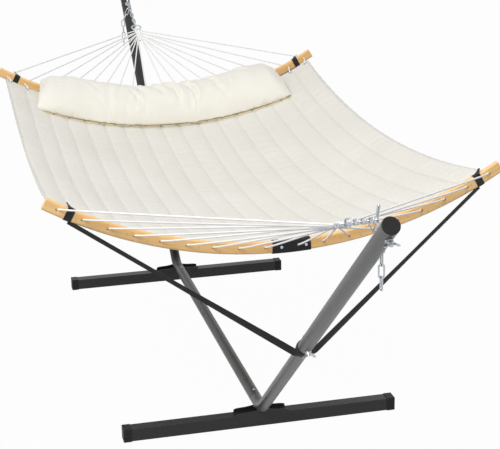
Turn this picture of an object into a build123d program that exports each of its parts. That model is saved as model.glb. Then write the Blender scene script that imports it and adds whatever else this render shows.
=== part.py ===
from build123d import *
import math
import os

# Hammock on stand, millimetres.
# X runs across the bed, Y runs from the foot end to the head end, Z is up.
# The origin is on the floor under the middle of the bed.
# Everything is drawn at the head end; the foot end is the same part turned half round.

os.makedirs("parts", exist_ok=True)

# ---------------------------------------------------------------- driving sizes
STAND_BASE_Y = 720.0        # cross base tube, distance from the middle
BASE_LENGTH = 895.0         # cross base over its end caps
BASE_SQUARE = 40.0          # square tube of the base
BASE_WALL = 1.5
CAP_WALL = 2.0              # plastic end cap, also the foot the base stands on
CAP_END = 3.0
CAP_SLEEVE = 23.0
TUBE_D = 38.0               # centre tube and lower arms
UPPER_D = 42.0              # upper arms slip over the lower arms
TUBE_WALL = 1.5
ARM_ANGLE = 39.1            # arm above the floor
ARM_VERTEX_Y = 735.0        # where arm axis and centre tube axis cross
ARM_LENGTH = 1540.0         # from that crossing to the top of the arm cap
ARM_SPLIT = 660.0           # lower rim of the upper arm
BEND_R = 90.0
CENTRE_HALF = 660.0         # half length of the centre tube
STUB_START = 575.0          # reduced stub inside the centre tube
BUTTON_Y = 630.0
BED_HALF_Y = 955.0          # end hem of the quilted bed
BAR_Y = 1000.0              # spreader bar
BAR_HALF_ARC = 700.0        # half the bar, measured along its curve
BAR_RADIUS = 1285.0
BAR_MID_Z = 690.0
BAR_HEIGHT = 36.0
BAR_THICK = 18.0
HOLE_GAP = 98.0             # gap between the two middle rope holes
HOLE_PITCH = 76.6
ROPE_HOLE_D = 7.0
ROPE_D = 4.6
ROPES_PER_SIDE = 9
RING_Y = 1590.0
RING_Z = 934.0
BED_THICK = 14.0
BED_HALF_ARC = 672.0
BED_SAG = 112.0
BED_EDGE_RISE = 20.0        # the side edges hang less deep than the middle
BED_DROP = 12.0             # hem below the middle of the bar
WEBBING_W = 25.0
WEBBING_T = 1.6
STRAP_ARC = 624.0           # where the steadying strap wraps the bar
HOOK_ROD = 8.0
HOOK_TILT = 13.6
CHAIN_WIRE = 4.0
CHAIN_PITCH = 30.0
CHAIN_INNER_W = 9.2
CHAIN_LINKS = 7
TAIL_TURNS = (0.0, 90.0, 180.0, 270.0, 360.0, 450.0)   # how far each spare link is twisted

# ---------------------------------------------------------------- named clearances
SLIP = 0.3                  # tube in tube, each side
CAP_FIT = 0.2               # cap on tube, each side
BOLT_FIT = 0.2              # bolt in hole, each side
SOFT_GAP = 0.3              # cloth and cord clear of the piece beside it
LINK_GAP = 0.15             # chain link to chain link
NOTCH_GAP = 0.4             # saddle notch round the tube

TUBE_R = TUBE_D / 2
UPPER_R = UPPER_D / 2
CAP_SQUARE = BASE_SQUARE + 2 * CAP_WALL
AXIS_Z = CAP_WALL + BASE_SQUARE + TUBE_R
ANGLE = math.radians(ARM_ANGLE)
ARM_DIR = Vector(0, math.cos(ANGLE), math.sin(ANGLE))
ARM_IN = Vector(0, -math.sin(ANGLE), math.cos(ANGLE))
VERTEX = Vector(0, ARM_VERTEX_Y, AXIS_Z)
X_DIR = Vector(1, 0, 0)
Y_DIR = Vector(0, 1, 0)
Z_DIR = Vector(0, 0, 1)


def save(name, shape):
    """Write one node; several solids stay separate solids in one compound."""
    solids = shape.solids() if hasattr(shape, "solids") else [s for p in shape for s in p.solids()]
    out = solids[0] if len(solids) == 1 else Compound(children=[Solid(s.wrapped) for s in solids])
    export_step(out, f"parts/{name}.step")


def both_ends(name, shapes):
    """Save the head piece and the same piece turned half round for the foot end."""
    shapes = shapes if isinstance(shapes, list) else [shapes]
    save(f"head_{name}", shapes)
    save(f"foot_{name}", [Rot(0, 0, 180) * s for s in shapes])


def both_in_one(name, shapes):
    """Save a set of identical pieces of both ends as one node."""
    save(name, shapes + [Rot(0, 0, 180) * s for s in shapes])


def rod(start, end, radius):
    """Round bar between two points."""
    a, b = Vector(*start), Vector(*end)
    return extrude(Plane(a, z_dir=b - a) * Circle(radius), amount=(b - a).length)


def cord(points, radius):
    """Round cord through a few points, with round turns and cut ends."""
    wire = Wire(Polyline(*points).edges())
    start = Plane(points[0], z_dir=points[1] - points[0])
    return sweep(start * Circle(radius), path=wire, transition=Transition.ROUND)


def swept(path, radius):
    """Round bar along a wire."""
    edge = path.edges()[0]
    return sweep(Plane(edge @ 0, z_dir=edge % 0) * Circle(radius), path=path)


def end_rim(shape, direction):
    """The circular edge furthest along a direction."""
    d = Vector(*direction)
    rims = shape.edges().filter_by(GeomType.CIRCLE)
    return max(rims, key=lambda e: e.arc_center.dot(d))


def on_arm(s, out=0.0):
    """Point on the arm axis at distance s from the vertex, moved out to the inner side."""
    return VERTEX + ARM_DIR * s + ARM_IN * out


def chain_link(centre, along, flat, pitch=CHAIN_PITCH, inner_w=CHAIN_INNER_W, wire=CHAIN_WIRE):
    """One oval link centred at a point, long axis along one direction, lying flat with another."""
    radius = (inner_w + wire) / 2
    straight = pitch + wire - 2 * radius
    plane = Plane(centre, x_dir=along, z_dir=Vector(*along).cross(Vector(*flat)))
    path = plane * SlotCenterToCenter(straight, 2 * radius)
    wire_path = path.face().outer_wire()
    edge = wire_path.edges()[0]
    return sweep(Plane(edge @ 0.5, z_dir=edge % 0.5) * Circle(wire / 2), path=Wire(wire_path.edges()))


# ---------------------------------------------------------------- stand base
def square_ring(length, outer, inner):
    return Box(length, outer, outer) - Box(length + 2, inner, inner)


tube_length = BASE_LENGTH - 2 * CAP_END - 2 * CAP_FIT
tube_centre = Pos(0, STAND_BASE_Y, CAP_WALL + BASE_SQUARE / 2)
base_tube = tube_centre * square_ring(tube_length, BASE_SQUARE, BASE_SQUARE - 2 * BASE_WALL)
both_ends("base_tube", base_tube)


def base_cap(side):
    """Moulded end cap: a sleeve over the tube, a closed end and two finger ribs."""
    length = CAP_SLEEVE + CAP_END
    body = Box(length, CAP_SQUARE, CAP_SQUARE)
    body = fillet(body.edges().filter_by(Axis.X), 2.5)
    body = fillet(body.faces().sort_by(Axis.X)[-1].edges(), 1.2)
    pocket = Pos(-CAP_END, 0, 0) * Box(length, BASE_SQUARE + 2 * CAP_FIT, BASE_SQUARE + 2 * CAP_FIT)
    body -= pocket
    for z in (-7.0, 7.0):
        for y in (-1, 1):
            body -= Pos(length / 2 - 9, y * CAP_SQUARE / 2, z) * Box(18.5, 1.6, 2.4)
        body -= Pos(length / 2, 0, z) * Box(1.6, CAP_SQUARE, 2.4)
    body = Pos(BASE_LENGTH / 2 - length / 2, 0, 0) * body
    if side < 0:
        body = Rot(0, 0, 180) * body
    return Pos(0, STAND_BASE_Y, CAP_SQUARE / 2) * body


both_in_one("base_caps", [base_cap(-1), base_cap(1)])

# ---------------------------------------------------------------- tubes
bend_tangent = BEND_R * math.tan(ANGLE / 2)
bend_start = Vector(0, ARM_VERTEX_Y - bend_tangent, AXIS_Z)
bend_end = VERTEX + ARM_DIR * bend_tangent
bend_arc = TangentArc(bend_start, bend_end, tangent=Y_DIR)
ELBOW_START = CENTRE_HALF + 1.0
LOWER_END = ARM_SPLIT + 118.0


def elbow_path(first_y, last_s):
    start = Vector(0, first_y, AXIS_Z)
    return Wire([Line(start, bend_start).edge(), bend_arc.edge(), Line(bend_end, on_arm(last_s)).edge()])


BOLT_D = 8.0
JOINT_BOLT_S = ARM_SPLIT + 22.0
HOOK_S = ARM_LENGTH - 53.0
HOOK_DIR = Vector(0, -math.cos(math.radians(HOOK_TILT)), math.sin(math.radians(HOOK_TILT)))
HOOK_AT = on_arm(HOOK_S)

lower_arm = swept(elbow_path(ELBOW_START, LOWER_END), TUBE_R)
STUB_R = TUBE_R - TUBE_WALL - 0.2
lower_arm += rod((0, STUB_START, AXIS_Z), (0, ELBOW_START + 2, AXIS_Z), STUB_R)
lower_arm -= swept(elbow_path(ELBOW_START + 3, LOWER_END + 1), TUBE_R - TUBE_WALL)
lower_arm -= rod((0, STUB_START - 1, AXIS_Z), (0, ELBOW_START + 4, AXIS_Z), STUB_R - TUBE_WALL)
joint_hole = rod(on_arm(JOINT_BOLT_S, -40), on_arm(JOINT_BOLT_S, 40), BOLT_D / 2 + BOLT_FIT)
lower_arm -= joint_hole
BUTTON_R = 4.0
button_hole = rod((0, BUTTON_Y, AXIS_Z), (0, BUTTON_Y, AXIS_Z + 40), BUTTON_R + BOLT_FIT)
lower_arm -= button_hole
both_ends("lower_arm", lower_arm)

centre_tube = rod((0, -CENTRE_HALF, AXIS_Z), (0, CENTRE_HALF, AXIS_Z), TUBE_R)
centre_tube -= rod((0, -CENTRE_HALF - 1, AXIS_Z), (0, CENTRE_HALF + 1, AXIS_Z), TUBE_R - TUBE_WALL)
centre_tube -= button_hole
centre_tube -= Rot(0, 0, 180) * button_hole
save("centre_tube", centre_tube)

ARM_CAP_T = 4.0
upper_inner = TUBE_R + SLIP
upper_arm = rod(on_arm(ARM_SPLIT), on_arm(ARM_LENGTH - ARM_CAP_T), UPPER_R)
upper_arm -= rod(on_arm(ARM_SPLIT - 1), on_arm(ARM_LENGTH), upper_inner)
upper_arm -= joint_hole
upper_arm -= rod(HOOK_AT - HOOK_DIR * 60, HOOK_AT + HOOK_DIR * 60, BOLT_D / 2 + BOLT_FIT)
both_ends("upper_arm", upper_arm)

cap_disc = rod(on_arm(ARM_LENGTH - ARM_CAP_T), on_arm(ARM_LENGTH), UPPER_R + 0.6)
cap_disc = fillet(end_rim(cap_disc, ARM_DIR), 2.0)
arm_cap = cap_disc + rod(on_arm(ARM_LENGTH - 22), on_arm(ARM_LENGTH - 3), upper_inner - CAP_FIT)
arm_cap -= rod(on_arm(ARM_LENGTH - 23), on_arm(ARM_LENGTH - ARM_CAP_T), upper_inner - 3)
both_ends("arm_cap", arm_cap)

# ---------------------------------------------------------------- saddle plates on the base
SADDLE_HALF = 85.0
SADDLE_T = 2.5
SADDLE_LOW = 14.0
SADDLE_SHOULDER = CAP_WALL + BASE_SQUARE + 7.0
SADDLE_PEAK = AXIS_Z - 3.0


def saddle_plate(y_face):
    """Arched plate on one face of the base tube, notched for the tube that lies in it."""
    pts = [
        (-SADDLE_HALF + 16, SADDLE_LOW),
        (SADDLE_HALF - 16, SADDLE_LOW),
        (SADDLE_HALF, SADDLE_SHOULDER - 9),
        (SADDLE_HALF, SADDLE_SHOULDER),
    ]
    low = Polyline(*pts)
    arch = Spline(pts[-1], (46, SADDLE_PEAK - 4), (0, SADDLE_PEAK + 2), (-46, SADDLE_PEAK - 4),
                  (-SADDLE_HALF, SADDLE_SHOULDER), tangents=[(-1, 0.55), (-1, -0.55)])
    close = Polyline((-SADDLE_HALF, SADDLE_SHOULDER), (-SADDLE_HALF, SADDLE_SHOULDER - 9), pts[0])
    outline = make_face(low.edges() + arch.edges() + close.edges())
    plane = Plane(Vector(0, y_face, 0), x_dir=X_DIR, z_dir=-Y_DIR)
    return extrude(plane * outline, amount=-SADDLE_T)


tube_room = swept(elbow_path(ELBOW_START - 60, 120.0), TUBE_R + NOTCH_GAP)
notch_slot = Pos(0, STAND_BASE_Y, AXIS_Z + 40) * Box(2 * (TUBE_R + NOTCH_GAP), 90, 80)
saddles = [
    saddle_plate(STAND_BASE_Y - BASE_SQUARE / 2 - SADDLE_T) - tube_room - notch_slot,
    saddle_plate(STAND_BASE_Y + BASE_SQUARE / 2) - tube_room - notch_slot,
]
both_ends("saddle_plates", saddles)

# ---------------------------------------------------------------- snap buttons
button_low = AXIS_Z + 4.0
button_top = AXIS_Z + TUBE_R + 2.6
button = rod((0, BUTTON_Y, button_low), (0, BUTTON_Y, button_top - 1.6), BUTTON_R)
dome = Pos(0, BUTTON_Y, button_top - BUTTON_R - 0.6) * Sphere(BUTTON_R + 0.6)
button = rod((0, BUTTON_Y, button_low), (0, BUTTON_Y, button_top), BUTTON_R) & (
    dome + rod((0, BUTTON_Y, button_low - 1), (0, BUTTON_Y, button_top - BUTTON_R), BUTTON_R + 1))
flange_z = AXIS_Z + STUB_R - TUBE_WALL - 3.4
button += rod((0, BUTTON_Y, flange_z), (0, BUTTON_Y, flange_z + 1.4), BUTTON_R + 1.6)
both_ends("snap_button", button)

leaf_t = 0.8
leaf_low = AXIS_Z - STUB_R + TUBE_WALL + leaf_t / 2 + 0.6
leaf_high = button_low - leaf_t / 2 - SOFT_GAP
leaf_pts = [(BUTTON_Y + 6, leaf_high), (BUTTON_Y - 6, leaf_high), (BUTTON_Y - 34, leaf_low),
            (BUTTON_Y + 8, leaf_low)]
leaf = None
for p, q in zip(leaf_pts, leaf_pts[1:]):
    a, b = Vector(0, *p), Vector(0, *q)
    mid = (a + b) * 0.5
    bar = Plane(mid, x_dir=b - a, z_dir=X_DIR) * Box((b - a).length + leaf_t, leaf_t, 6)
    leaf = bar if leaf is None else leaf + bar
both_ends("button_spring", leaf)


# ---------------------------------------------------------------- bolts and wing nuts
def washer(at, direction, bore=BOLT_D, outer=18.0, thick=1.6):
    d = Vector(*direction).normalized()
    a = Vector(*at)
    return rod(a, a + d * thick, outer / 2) - rod(a - d, a + d * (thick + 1), bore / 2 + BOLT_FIT)


def wing_nut(at, direction, bore=BOLT_D):
    """Wing nut standing on a point, wings spread along X."""
    d = Vector(*direction).normalized()
    a = Vector(*at)
    boss = rod(a, a + d * 8, 7.0)
    for side in (-1, 1):
        plane = Plane(a + d * 2, x_dir=X_DIR * side, z_dir=(X_DIR * side).cross(d))
        wing = make_face(Polyline((3, 0), (8, 0), (18, 9), (19, 14), (14, 15), (5, 6), (3, 6), (3, 0)).edges())
        boss += extrude(plane * wing, amount=1.3, both=True)
    return boss - rod(a - d, a + d * 9, bore / 2 + 0.1)


joint_head = on_arm(JOINT_BOLT_S, UPPER_R + 0.2)
joint_out = on_arm(JOINT_BOLT_S, -UPPER_R - 0.2)
joint_bolt = rod(joint_head, joint_head + ARM_IN * 4.5, 8.0)
joint_bolt = fillet(end_rim(joint_bolt, ARM_IN), 2.5)
joint_bolt += rod(joint_head + ARM_IN, on_arm(JOINT_BOLT_S, -UPPER_R - 13), BOLT_D / 2)
both_ends("joint_bolt_and_washer", [joint_bolt, washer(joint_out, -ARM_IN)])
joint_nut_at = joint_out - ARM_IN * 1.7
both_ends("joint_wing_nut", wing_nut(joint_nut_at, -ARM_IN))

# hook bolt: straight shank through the arm, then an upturned end that holds the chain
skew = 1 / math.cos(math.radians(90 - ARM_ANGLE - HOOK_TILT))
SPACER_R = 9.0
shank_out = UPPER_R * skew + SPACER_R * math.tan(math.acos(1 / skew)) + 1.0
BEND_HOOK = 11.0
TIP_LENGTH = 30.0
TIP_ANGLE = 110.0
corner_start = HOOK_AT + HOOK_DIR * (shank_out + 12.0)
turn = math.radians(TIP_ANGLE - HOOK_TILT)
up_dir = Vector(0, math.sin(math.radians(HOOK_TILT)), math.cos(math.radians(HOOK_TILT)))
bend_centre = corner_start + up_dir * BEND_HOOK


def on_hook(angle_deg):
    """Point on the hook bend where the rod points this far above the level."""
    t = math.radians(angle_deg)
    return bend_centre + Vector(0, -math.sin(t), -math.cos(t)) * BEND_HOOK


def level_dir(angle_deg):
    t = math.radians(angle_deg)
    return Vector(0, -math.cos(t), math.sin(t))


corner_mid = on_hook((HOOK_TILT + TIP_ANGLE) / 2)
corner_end = on_hook(TIP_ANGLE)
hook_start = HOOK_AT - HOOK_DIR * (shank_out + 14)
hook_wire = Wire([
    Line(hook_start, corner_start).edge(),
    ThreePointArc(corner_start, corner_mid, corner_end).edge(),
    Line(corner_end, corner_end + level_dir(TIP_ANGLE) * TIP_LENGTH).edge(),
])
hook_bolt = swept(hook_wire, HOOK_ROD / 2)
hook_bolt = hook_bolt + Pos(*(corner_end + level_dir(TIP_ANGLE) * TIP_LENGTH)) * Sphere(HOOK_ROD / 2)
both_ends("hook_bolt", hook_bolt)

hook_in = HOOK_AT + HOOK_DIR * shank_out
hook_out = HOOK_AT - HOOK_DIR * shank_out
hex_nut = extrude(Plane(hook_in + HOOK_DIR * 0.1, z_dir=HOOK_DIR) * RegularPolygon(7.5, 6), amount=6.5)
hex_nut -= rod(hook_in, hook_in + HOOK_DIR * 12, BOLT_D / 2 + 0.1)
arm_room = rod(on_arm(HOOK_S - 60), on_arm(HOOK_S + 60), UPPER_R + 0.05)


def hook_spacer(direction):
    """Wedge spacer: curved to the arm on one side, flat for the nut on the other."""
    piece = rod(HOOK_AT, HOOK_AT + direction * shank_out, SPACER_R) - arm_room
    return piece - rod(HOOK_AT, HOOK_AT + direction * (shank_out + 1), BOLT_D / 2 + BOLT_FIT)


both_ends("hook_nut_and_spacers", [hook_spacer(HOOK_DIR), hook_spacer(-HOOK_DIR), hex_nut])
both_ends("hook_wing_nut", wing_nut(hook_out - HOOK_DIR * 0.2, -HOOK_DIR))

# ---------------------------------------------------------------- chain, clip and ring
# the chain leaves the hook towards the ring; the rod it sits on is square to that line
RING_R = 21.0
RING_WIRE = 6.0
ring_centre = Vector(0, RING_Y, RING_Z)
seat = on_hook(70.0)
pull = (ring_centre - seat).normalized()
pull_angle = math.degrees(math.asin(-pull.Z))
seat = on_hook(90.0 - pull_angle)
pull = (ring_centre - seat).normalized()
lift = X_DIR.cross(pull) * -1

links = []
step = CHAIN_PITCH
link_reach = (CHAIN_PITCH + CHAIN_WIRE) / 2     # centre of link to centre of its end wire
first = seat - pull * (HOOK_ROD / 2 + LINK_GAP + CHAIN_WIRE / 2) + pull * link_reach
for i in range(CHAIN_LINKS):
    centre = first + pull * (i * (step - LINK_GAP))
    flat = X_DIR if i % 2 == 0 else lift
    links.append(chain_link(centre, pull, flat))
both_ends("chain", links)
chain_end = first + pull * ((CHAIN_LINKS - 1) * (step - LINK_GAP) + link_reach)

# clip: an open loop in the upright plane with a hinged gate
CLIP_WIRE = 5.0
CLIP_W = 22.0
gate_plane_normal = X_DIR
clip_start = chain_end - pull * (CHAIN_WIRE / 2 + LINK_GAP + CLIP_WIRE / 2)
ring_near = ring_centre - pull * RING_R
clip_finish = ring_near + pull * (RING_WIRE / 2 + LINK_GAP + CLIP_WIRE / 2)
clip_len = (clip_finish - clip_start).length
clip_mid = (clip_start + clip_finish) * 0.5
clip_plane = Plane(clip_mid, x_dir=pull, z_dir=X_DIR)
half_l = clip_len / 2
half_w = CLIP_W / 2
clip_loop = clip_plane * SlotCenterToCenter(clip_len - CLIP_W, CLIP_W)
clip_edges = Wire(clip_loop.face().outer_wire().edges())
loop_edge = clip_edges.edges()[0]
clip_ring = sweep(Plane(loop_edge @ 0.5, z_dir=loop_edge % 0.5) * Circle(CLIP_WIRE / 2), path=clip_edges)
gate_half = (clip_len - CLIP_W) / 2
gate_cut = clip_plane * Pos(0, half_w, 0) * Box(2 * gate_half, CLIP_WIRE + 3, CLIP_WIRE + 3)
clip_body = clip_ring - gate_cut
both_ends("clip", clip_body)
GATE_GAP = 0.9              # each end of the gate to the clip
g0 = clip_plane.from_local_coords(Vector(-gate_half + GATE_GAP, half_w, 0))
g1 = clip_plane.from_local_coords(Vector(gate_half - GATE_GAP, half_w, 0))
gate = rod(g0, g1, CLIP_WIRE / 2 - 0.4)
both_ends("clip_gate", gate)

ring_plane = Plane(ring_centre, x_dir=X_DIR, z_dir=lift)
hammock_ring = ring_plane * Torus(RING_R, RING_WIRE / 2)
both_ends("ring", hammock_ring)

# spare end of the chain: hung on one side wire of the third link, lying over the arm's flank
TAIL_SIDE = -1.0
TAIL_LEAN = 29.0
TAIL_LEANING = 2
side_wire_x = TAIL_SIDE * (CHAIN_INNER_W + CHAIN_WIRE) / 2
tail_pivot = first + pull * (2 * (step - LINK_GAP)) + X_DIR * side_wire_x
lean = math.radians(TAIL_LEAN)
lean_dir = Vector(TAIL_SIDE * math.sin(lean), 0, -math.cos(lean))
tail = []
at = tail_pivot - lean_dir * (CHAIN_WIRE + 0.5) + lean_dir * link_reach
for i, tail_turn in enumerate(TAIL_TURNS):
    twist = math.radians(tail_turn)
    along = lean_dir if i < TAIL_LEANING else -Z_DIR
    flat = along.cross(Y_DIR) * math.cos(twist) + Y_DIR * math.sin(twist)
    tail.append(chain_link(at, along, flat))
    next_along = lean_dir if i + 1 < TAIL_LEANING else -Z_DIR
    at = at + along * link_reach + next_along * (link_reach - CHAIN_WIRE - LINK_GAP)
both_ends("chain_tail", tail)


# ---------------------------------------------------------------- spreader bars
def bar_point(arc, lift_z=0.0, y=BAR_Y):
    """Point on the bar at a distance along its curve from the middle."""
    phi = arc / BAR_RADIUS
    r = BAR_RADIUS - lift_z
    return Vector(r * math.sin(phi), y, BAR_MID_Z + BAR_RADIUS - r * math.cos(phi))


def bar_up(arc):
    phi = arc / BAR_RADIUS
    return Vector(-math.sin(phi), 0, math.cos(phi))


def bar_along(arc):
    phi = arc / BAR_RADIUS
    return Vector(math.cos(phi), 0, math.sin(phi))


def bar_piece(arc0, arc1, height, thick, round_r):
    """Curved bar of rounded rectangular section between two places along the curve."""
    mid = (arc0 + arc1) / 2
    path = ThreePointArc(bar_point(arc0), bar_point(mid), bar_point(arc1))
    section = Plane(bar_point(arc0), x_dir=Y_DIR, z_dir=bar_along(arc0)) * RectangleRounded(
        thick, height, round_r)
    return sweep(section, path=path)


SLEEVE_HALF = 57.0
SLEEVE_MID = -29.0          # the joint sits off the middle, between two rope holes
SLEEVE_WALL = 1.6
hole_arcs = [side * (HOLE_GAP / 2 + k * HOLE_PITCH) for side in (-1, 1) for k in range(ROPES_PER_SIDE)]
hole_arcs.sort()
holes = []
for arc in hole_arcs:
    c = bar_point(arc)
    holes.append(rod(c - Y_DIR * 20, c + Y_DIR * 20, ROPE_HOLE_D / 2))
SCREW_ARCS = (SLEEVE_MID - 43.0, SLEEVE_MID + 30.0)
SCREW_R = 2.5
for arc in SCREW_ARCS:
    c = bar_point(arc)
    holes.append(rod(c - Y_DIR * 20, c + Y_DIR * 20, SCREW_R + 0.1))


def with_holes(piece):
    for h in holes:
        piece = piece - h
    return piece


left_half = bar_piece(-BAR_HALF_ARC, SLEEVE_MID - 0.15, BAR_HEIGHT, BAR_THICK, 6.0)
right_half = bar_piece(SLEEVE_MID + 0.15, BAR_HALF_ARC, BAR_HEIGHT, BAR_THICK, 6.0)
both_ends("bar_left_half", with_holes(left_half))
both_ends("bar_right_half", with_holes(right_half))
sleeve = bar_piece(SLEEVE_MID - SLEEVE_HALF, SLEEVE_MID + SLEEVE_HALF, BAR_HEIGHT + 0.3 + 2 * SLEEVE_WALL,
                   BAR_THICK + 0.3 + 2 * SLEEVE_WALL, 7.0)
sleeve -= bar_piece(SLEEVE_MID - SLEEVE_HALF - 2, SLEEVE_MID + SLEEVE_HALF + 2, BAR_HEIGHT + 0.3,
                    BAR_THICK + 0.3, 6.1)
both_ends("bar_sleeve", with_holes(sleeve))
screw_half = BAR_THICK / 2 + 0.15 + SLEEVE_WALL
screws = []
for arc in SCREW_ARCS:
    c = bar_point(arc)
    face = c + Y_DIR * (screw_half + 0.1)
    head = rod(face, face + Y_DIR * 2.0, 4.5)
    head = fillet(end_rim(head, Y_DIR), 1.2)
    screws.append(head + rod(c - Y_DIR * (screw_half - 0.5), face + Y_DIR, SCREW_R))
both_ends("sleeve_screws", screws)

# ---------------------------------------------------------------- ropes
rope_r = ROPE_D / 2
bar_mid = Vector(0, BAR_Y, BAR_MID_Z)
fan_dir = (bar_mid - ring_centre).normalized()
fan_up = X_DIR.cross(fan_dir) * -1
ring_far = RING_R + RING_WIRE / 2
CLEW_LENGTH = 88.0
CLEW_TOP_HALF = 13.0
CLEW_TIP_HALF = 5.0
CLEW_THICK = 9.0
clew_start = ring_centre + fan_dir * (ring_far + 4 * SOFT_GAP)


def clew_half(t):
    """Half width of the plaited clew at a share of its length."""
    return CLEW_TOP_HALF + (CLEW_TIP_HALF - CLEW_TOP_HALF) * t


clew_sections = [
    Plane(clew_start + fan_dir * (CLEW_LENGTH * t), x_dir=X_DIR, z_dir=fan_dir) * RectangleRounded(
        2 * clew_half(t), CLEW_THICK, CLEW_THICK / 2 - 0.5)
    for t in (0.0, 1.0)
]
clew = loft(clew_sections)
loop_r = RING_WIRE / 2 + SOFT_GAP + rope_r
for turn_deg in (-22.0, 0.0, 22.0):
    turn_rad = math.radians(turn_deg)
    outward = pull * math.cos(turn_rad) + X_DIR * math.sin(turn_rad)
    around = ring_centre + outward * RING_R
    tangent = outward.cross(lift)
    clew += Plane(around, x_dir=outward, z_dir=tangent) * Torus(loop_r, rope_r)
both_ends("clew", clew)

ropes = []
for arc in hole_arcs:
    hole = bar_point(arc)
    side = 1 if arc > 0 else -1
    rank = round((abs(arc) - HOLE_GAP / 2) / HOLE_PITCH)
    t = 0.92 - 0.82 * rank / (ROPES_PER_SIDE - 1)
    rope_lean = math.atan2(abs(hole.X) - clew_half(t), (hole - clew_start).dot(fan_dir) - CLEW_LENGTH * t)
    offset = clew_half(t) + rope_r * math.cos(rope_lean) - SOFT_GAP
    layer = (rope_r + SOFT_GAP / 2) * (1 if rank % 2 == 0 else -1)
    start = clew_start + fan_dir * (CLEW_LENGTH * t) + X_DIR * (side * offset) + fan_up * layer
    inside = hole + Y_DIR * (BAR_THICK / 2 + 3.0)
    tail_end = hole - Y_DIR * (BAR_THICK / 2 + 2.0)
    ropes.append(cord([start, inside, tail_end], rope_r))
both_ends("rope_fan", ropes)


# ---------------------------------------------------------------- bed
def bed_sag(arc):
    """How deep the cloth hangs half way along, at one distance from the middle."""
    return BED_SAG - BED_EDGE_RISE * (arc / BED_HALF_ARC) ** 2


def bed_point(u, v, up=0.0):
    """Mid surface of the bed: u runs across (-1..1), v runs along (-1..1)."""
    arc = u * BED_HALF_ARC * (1 - 0.035 * (1 - v * v))
    phi = arc / BAR_RADIUS
    r = BAR_RADIUS - up
    z = BAR_MID_Z - BED_DROP + BAR_RADIUS - r * math.cos(phi) - bed_sag(arc) * (1 - v * v)
    return Vector(r * math.sin(phi), v * BED_HALF_Y, z)


GRID = 9
grid = [[bed_point(-1 + 2 * i / (GRID - 1), -1 + 2 * j / (GRID - 1), -BED_THICK / 2) for j in range(GRID)]
        for i in range(GRID)]
bed_face = Face.make_surface_from_array_of_points(grid)
if bed_face.normal_at().Z < 0:
    bed_face = -bed_face
quilted_bed = Solid.thicken(bed_face, BED_THICK)
GROMMET_R = 5.0
GROMMET_BACK = 14.0


def grommet_point(arc):
    """Centre of the eyelet in the end hem that belongs to one rope."""
    phi = arc * (BED_HALF_ARC - 16) / (HOLE_GAP / 2 + (ROPES_PER_SIDE - 1) * HOLE_PITCH) / BAR_RADIUS
    y = BED_HALF_Y - GROMMET_BACK
    v = y / BED_HALF_Y
    sag = bed_sag(phi * BAR_RADIUS)
    slope = 2 * sag * v / BED_HALF_Y
    z = BAR_MID_Z - BED_DROP + BAR_RADIUS * (1 - math.cos(phi)) - sag * (1 - v * v)
    normal = Vector(-math.sin(phi), -slope * math.cos(phi), math.cos(phi)).normalized()
    return Vector(BAR_RADIUS * math.sin(phi), y, z), normal


eyelets = []
for arc in hole_arcs:
    c, up = grommet_point(arc)
    bore = rod(c - up * 30, c + up * 30, GROMMET_R + 0.3)
    quilted_bed = quilted_bed - bore - Rot(0, 0, 180) * bore
    half = BED_THICK / 2 + 0.4
    eye = rod(c - up * half, c + up * half, GROMMET_R)
    for s in (-1, 1):
        face = c + up * (s * half)
        eye += rod(face, face + up * (s * 1.0), GROMMET_R + 3.0)
    eye -= rod(c - up * 30, c + up * 30, GROMMET_R - 1.2)
    eyelets.append(eye)
save("quilted_bed", quilted_bed)
both_in_one("eyelets", eyelets)

# lacing: one loop of rope per hole, from the inner side of the bar down through the eyelet
lacing = []
for arc in hole_arcs:
    c, up = grommet_point(arc)
    hole = bar_point(arc)
    knot_pt = hole - Y_DIR * (BAR_THICK / 2 + 2.0 + 2 * SOFT_GAP)
    pulled = c + Y_DIR * 0.8
    top = pulled + up * (BED_THICK / 2 + rope_r + 4.4)
    lacing.append(cord([knot_pt, top, pulled - up * (BED_THICK / 2 + 3)], rope_r))
both_ends("lacing", lacing)

# ---------------------------------------------------------------- pillow
PILLOW_HALF_ARC = 560.0
PILLOW_Y = 850.0
PILLOW_DEEP = 270.0
PILLOW_HIGH = 135.0
PILLOW_FAR_LIFT = 20.0      # the far edge rides up over the lacing


def pillow_section(arc, scale):
    """Cushion outline across the bed at one place along its length, resting on the bed."""
    phi = arc / BAR_RADIUS
    half = PILLOW_DEEP / 2 * (0.86 + 0.14 * scale)
    high = PILLOW_HIGH * scale
    pts = []
    for t in (-1.0, -0.72, -0.3, 0.3, 0.72, 1.0):
        y = PILLOW_Y + half * t
        v = y / BED_HALF_Y
        drop = (BED_DROP + bed_sag(arc) * (1 - v * v)) * math.cos(phi)
        lift_z = BED_THICK / 2 + 2.0 - drop + PILLOW_FAR_LIFT * max(0.0, t) ** 2
        shape = max(0.0, 1 - abs(t) ** 2.6)
        pts.append((y, lift_z + high * 0.16 * (1 - shape), lift_z + high * (0.16 + 0.84 * shape ** 0.8)))
    low = [(y, lo) for y, lo, hi in pts]
    high_pts = [(y, hi) for y, lo, hi in pts]
    origin = Vector(BAR_RADIUS * math.sin(phi), 0, BAR_MID_Z + BAR_RADIUS * (1 - math.cos(phi)))
    plane = Plane(origin, x_dir=Y_DIR, z_dir=bar_along(arc))
    ring = low + high_pts[1:-1][::-1]
    curve = Spline(*ring, periodic=True)
    return plane * make_face(curve.edges())


stations = [(-1.0, 0.28), (-0.93, 0.68), (-0.75, 0.93), (-0.35, 1.0), (0.0, 1.0), (0.35, 1.0),
            (0.75, 0.93), (0.93, 0.68), (1.0, 0.28)]
pillow = loft([pillow_section(PILLOW_HALF_ARC * a, s) for a, s in stations])
save("pillow", pillow)


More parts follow.
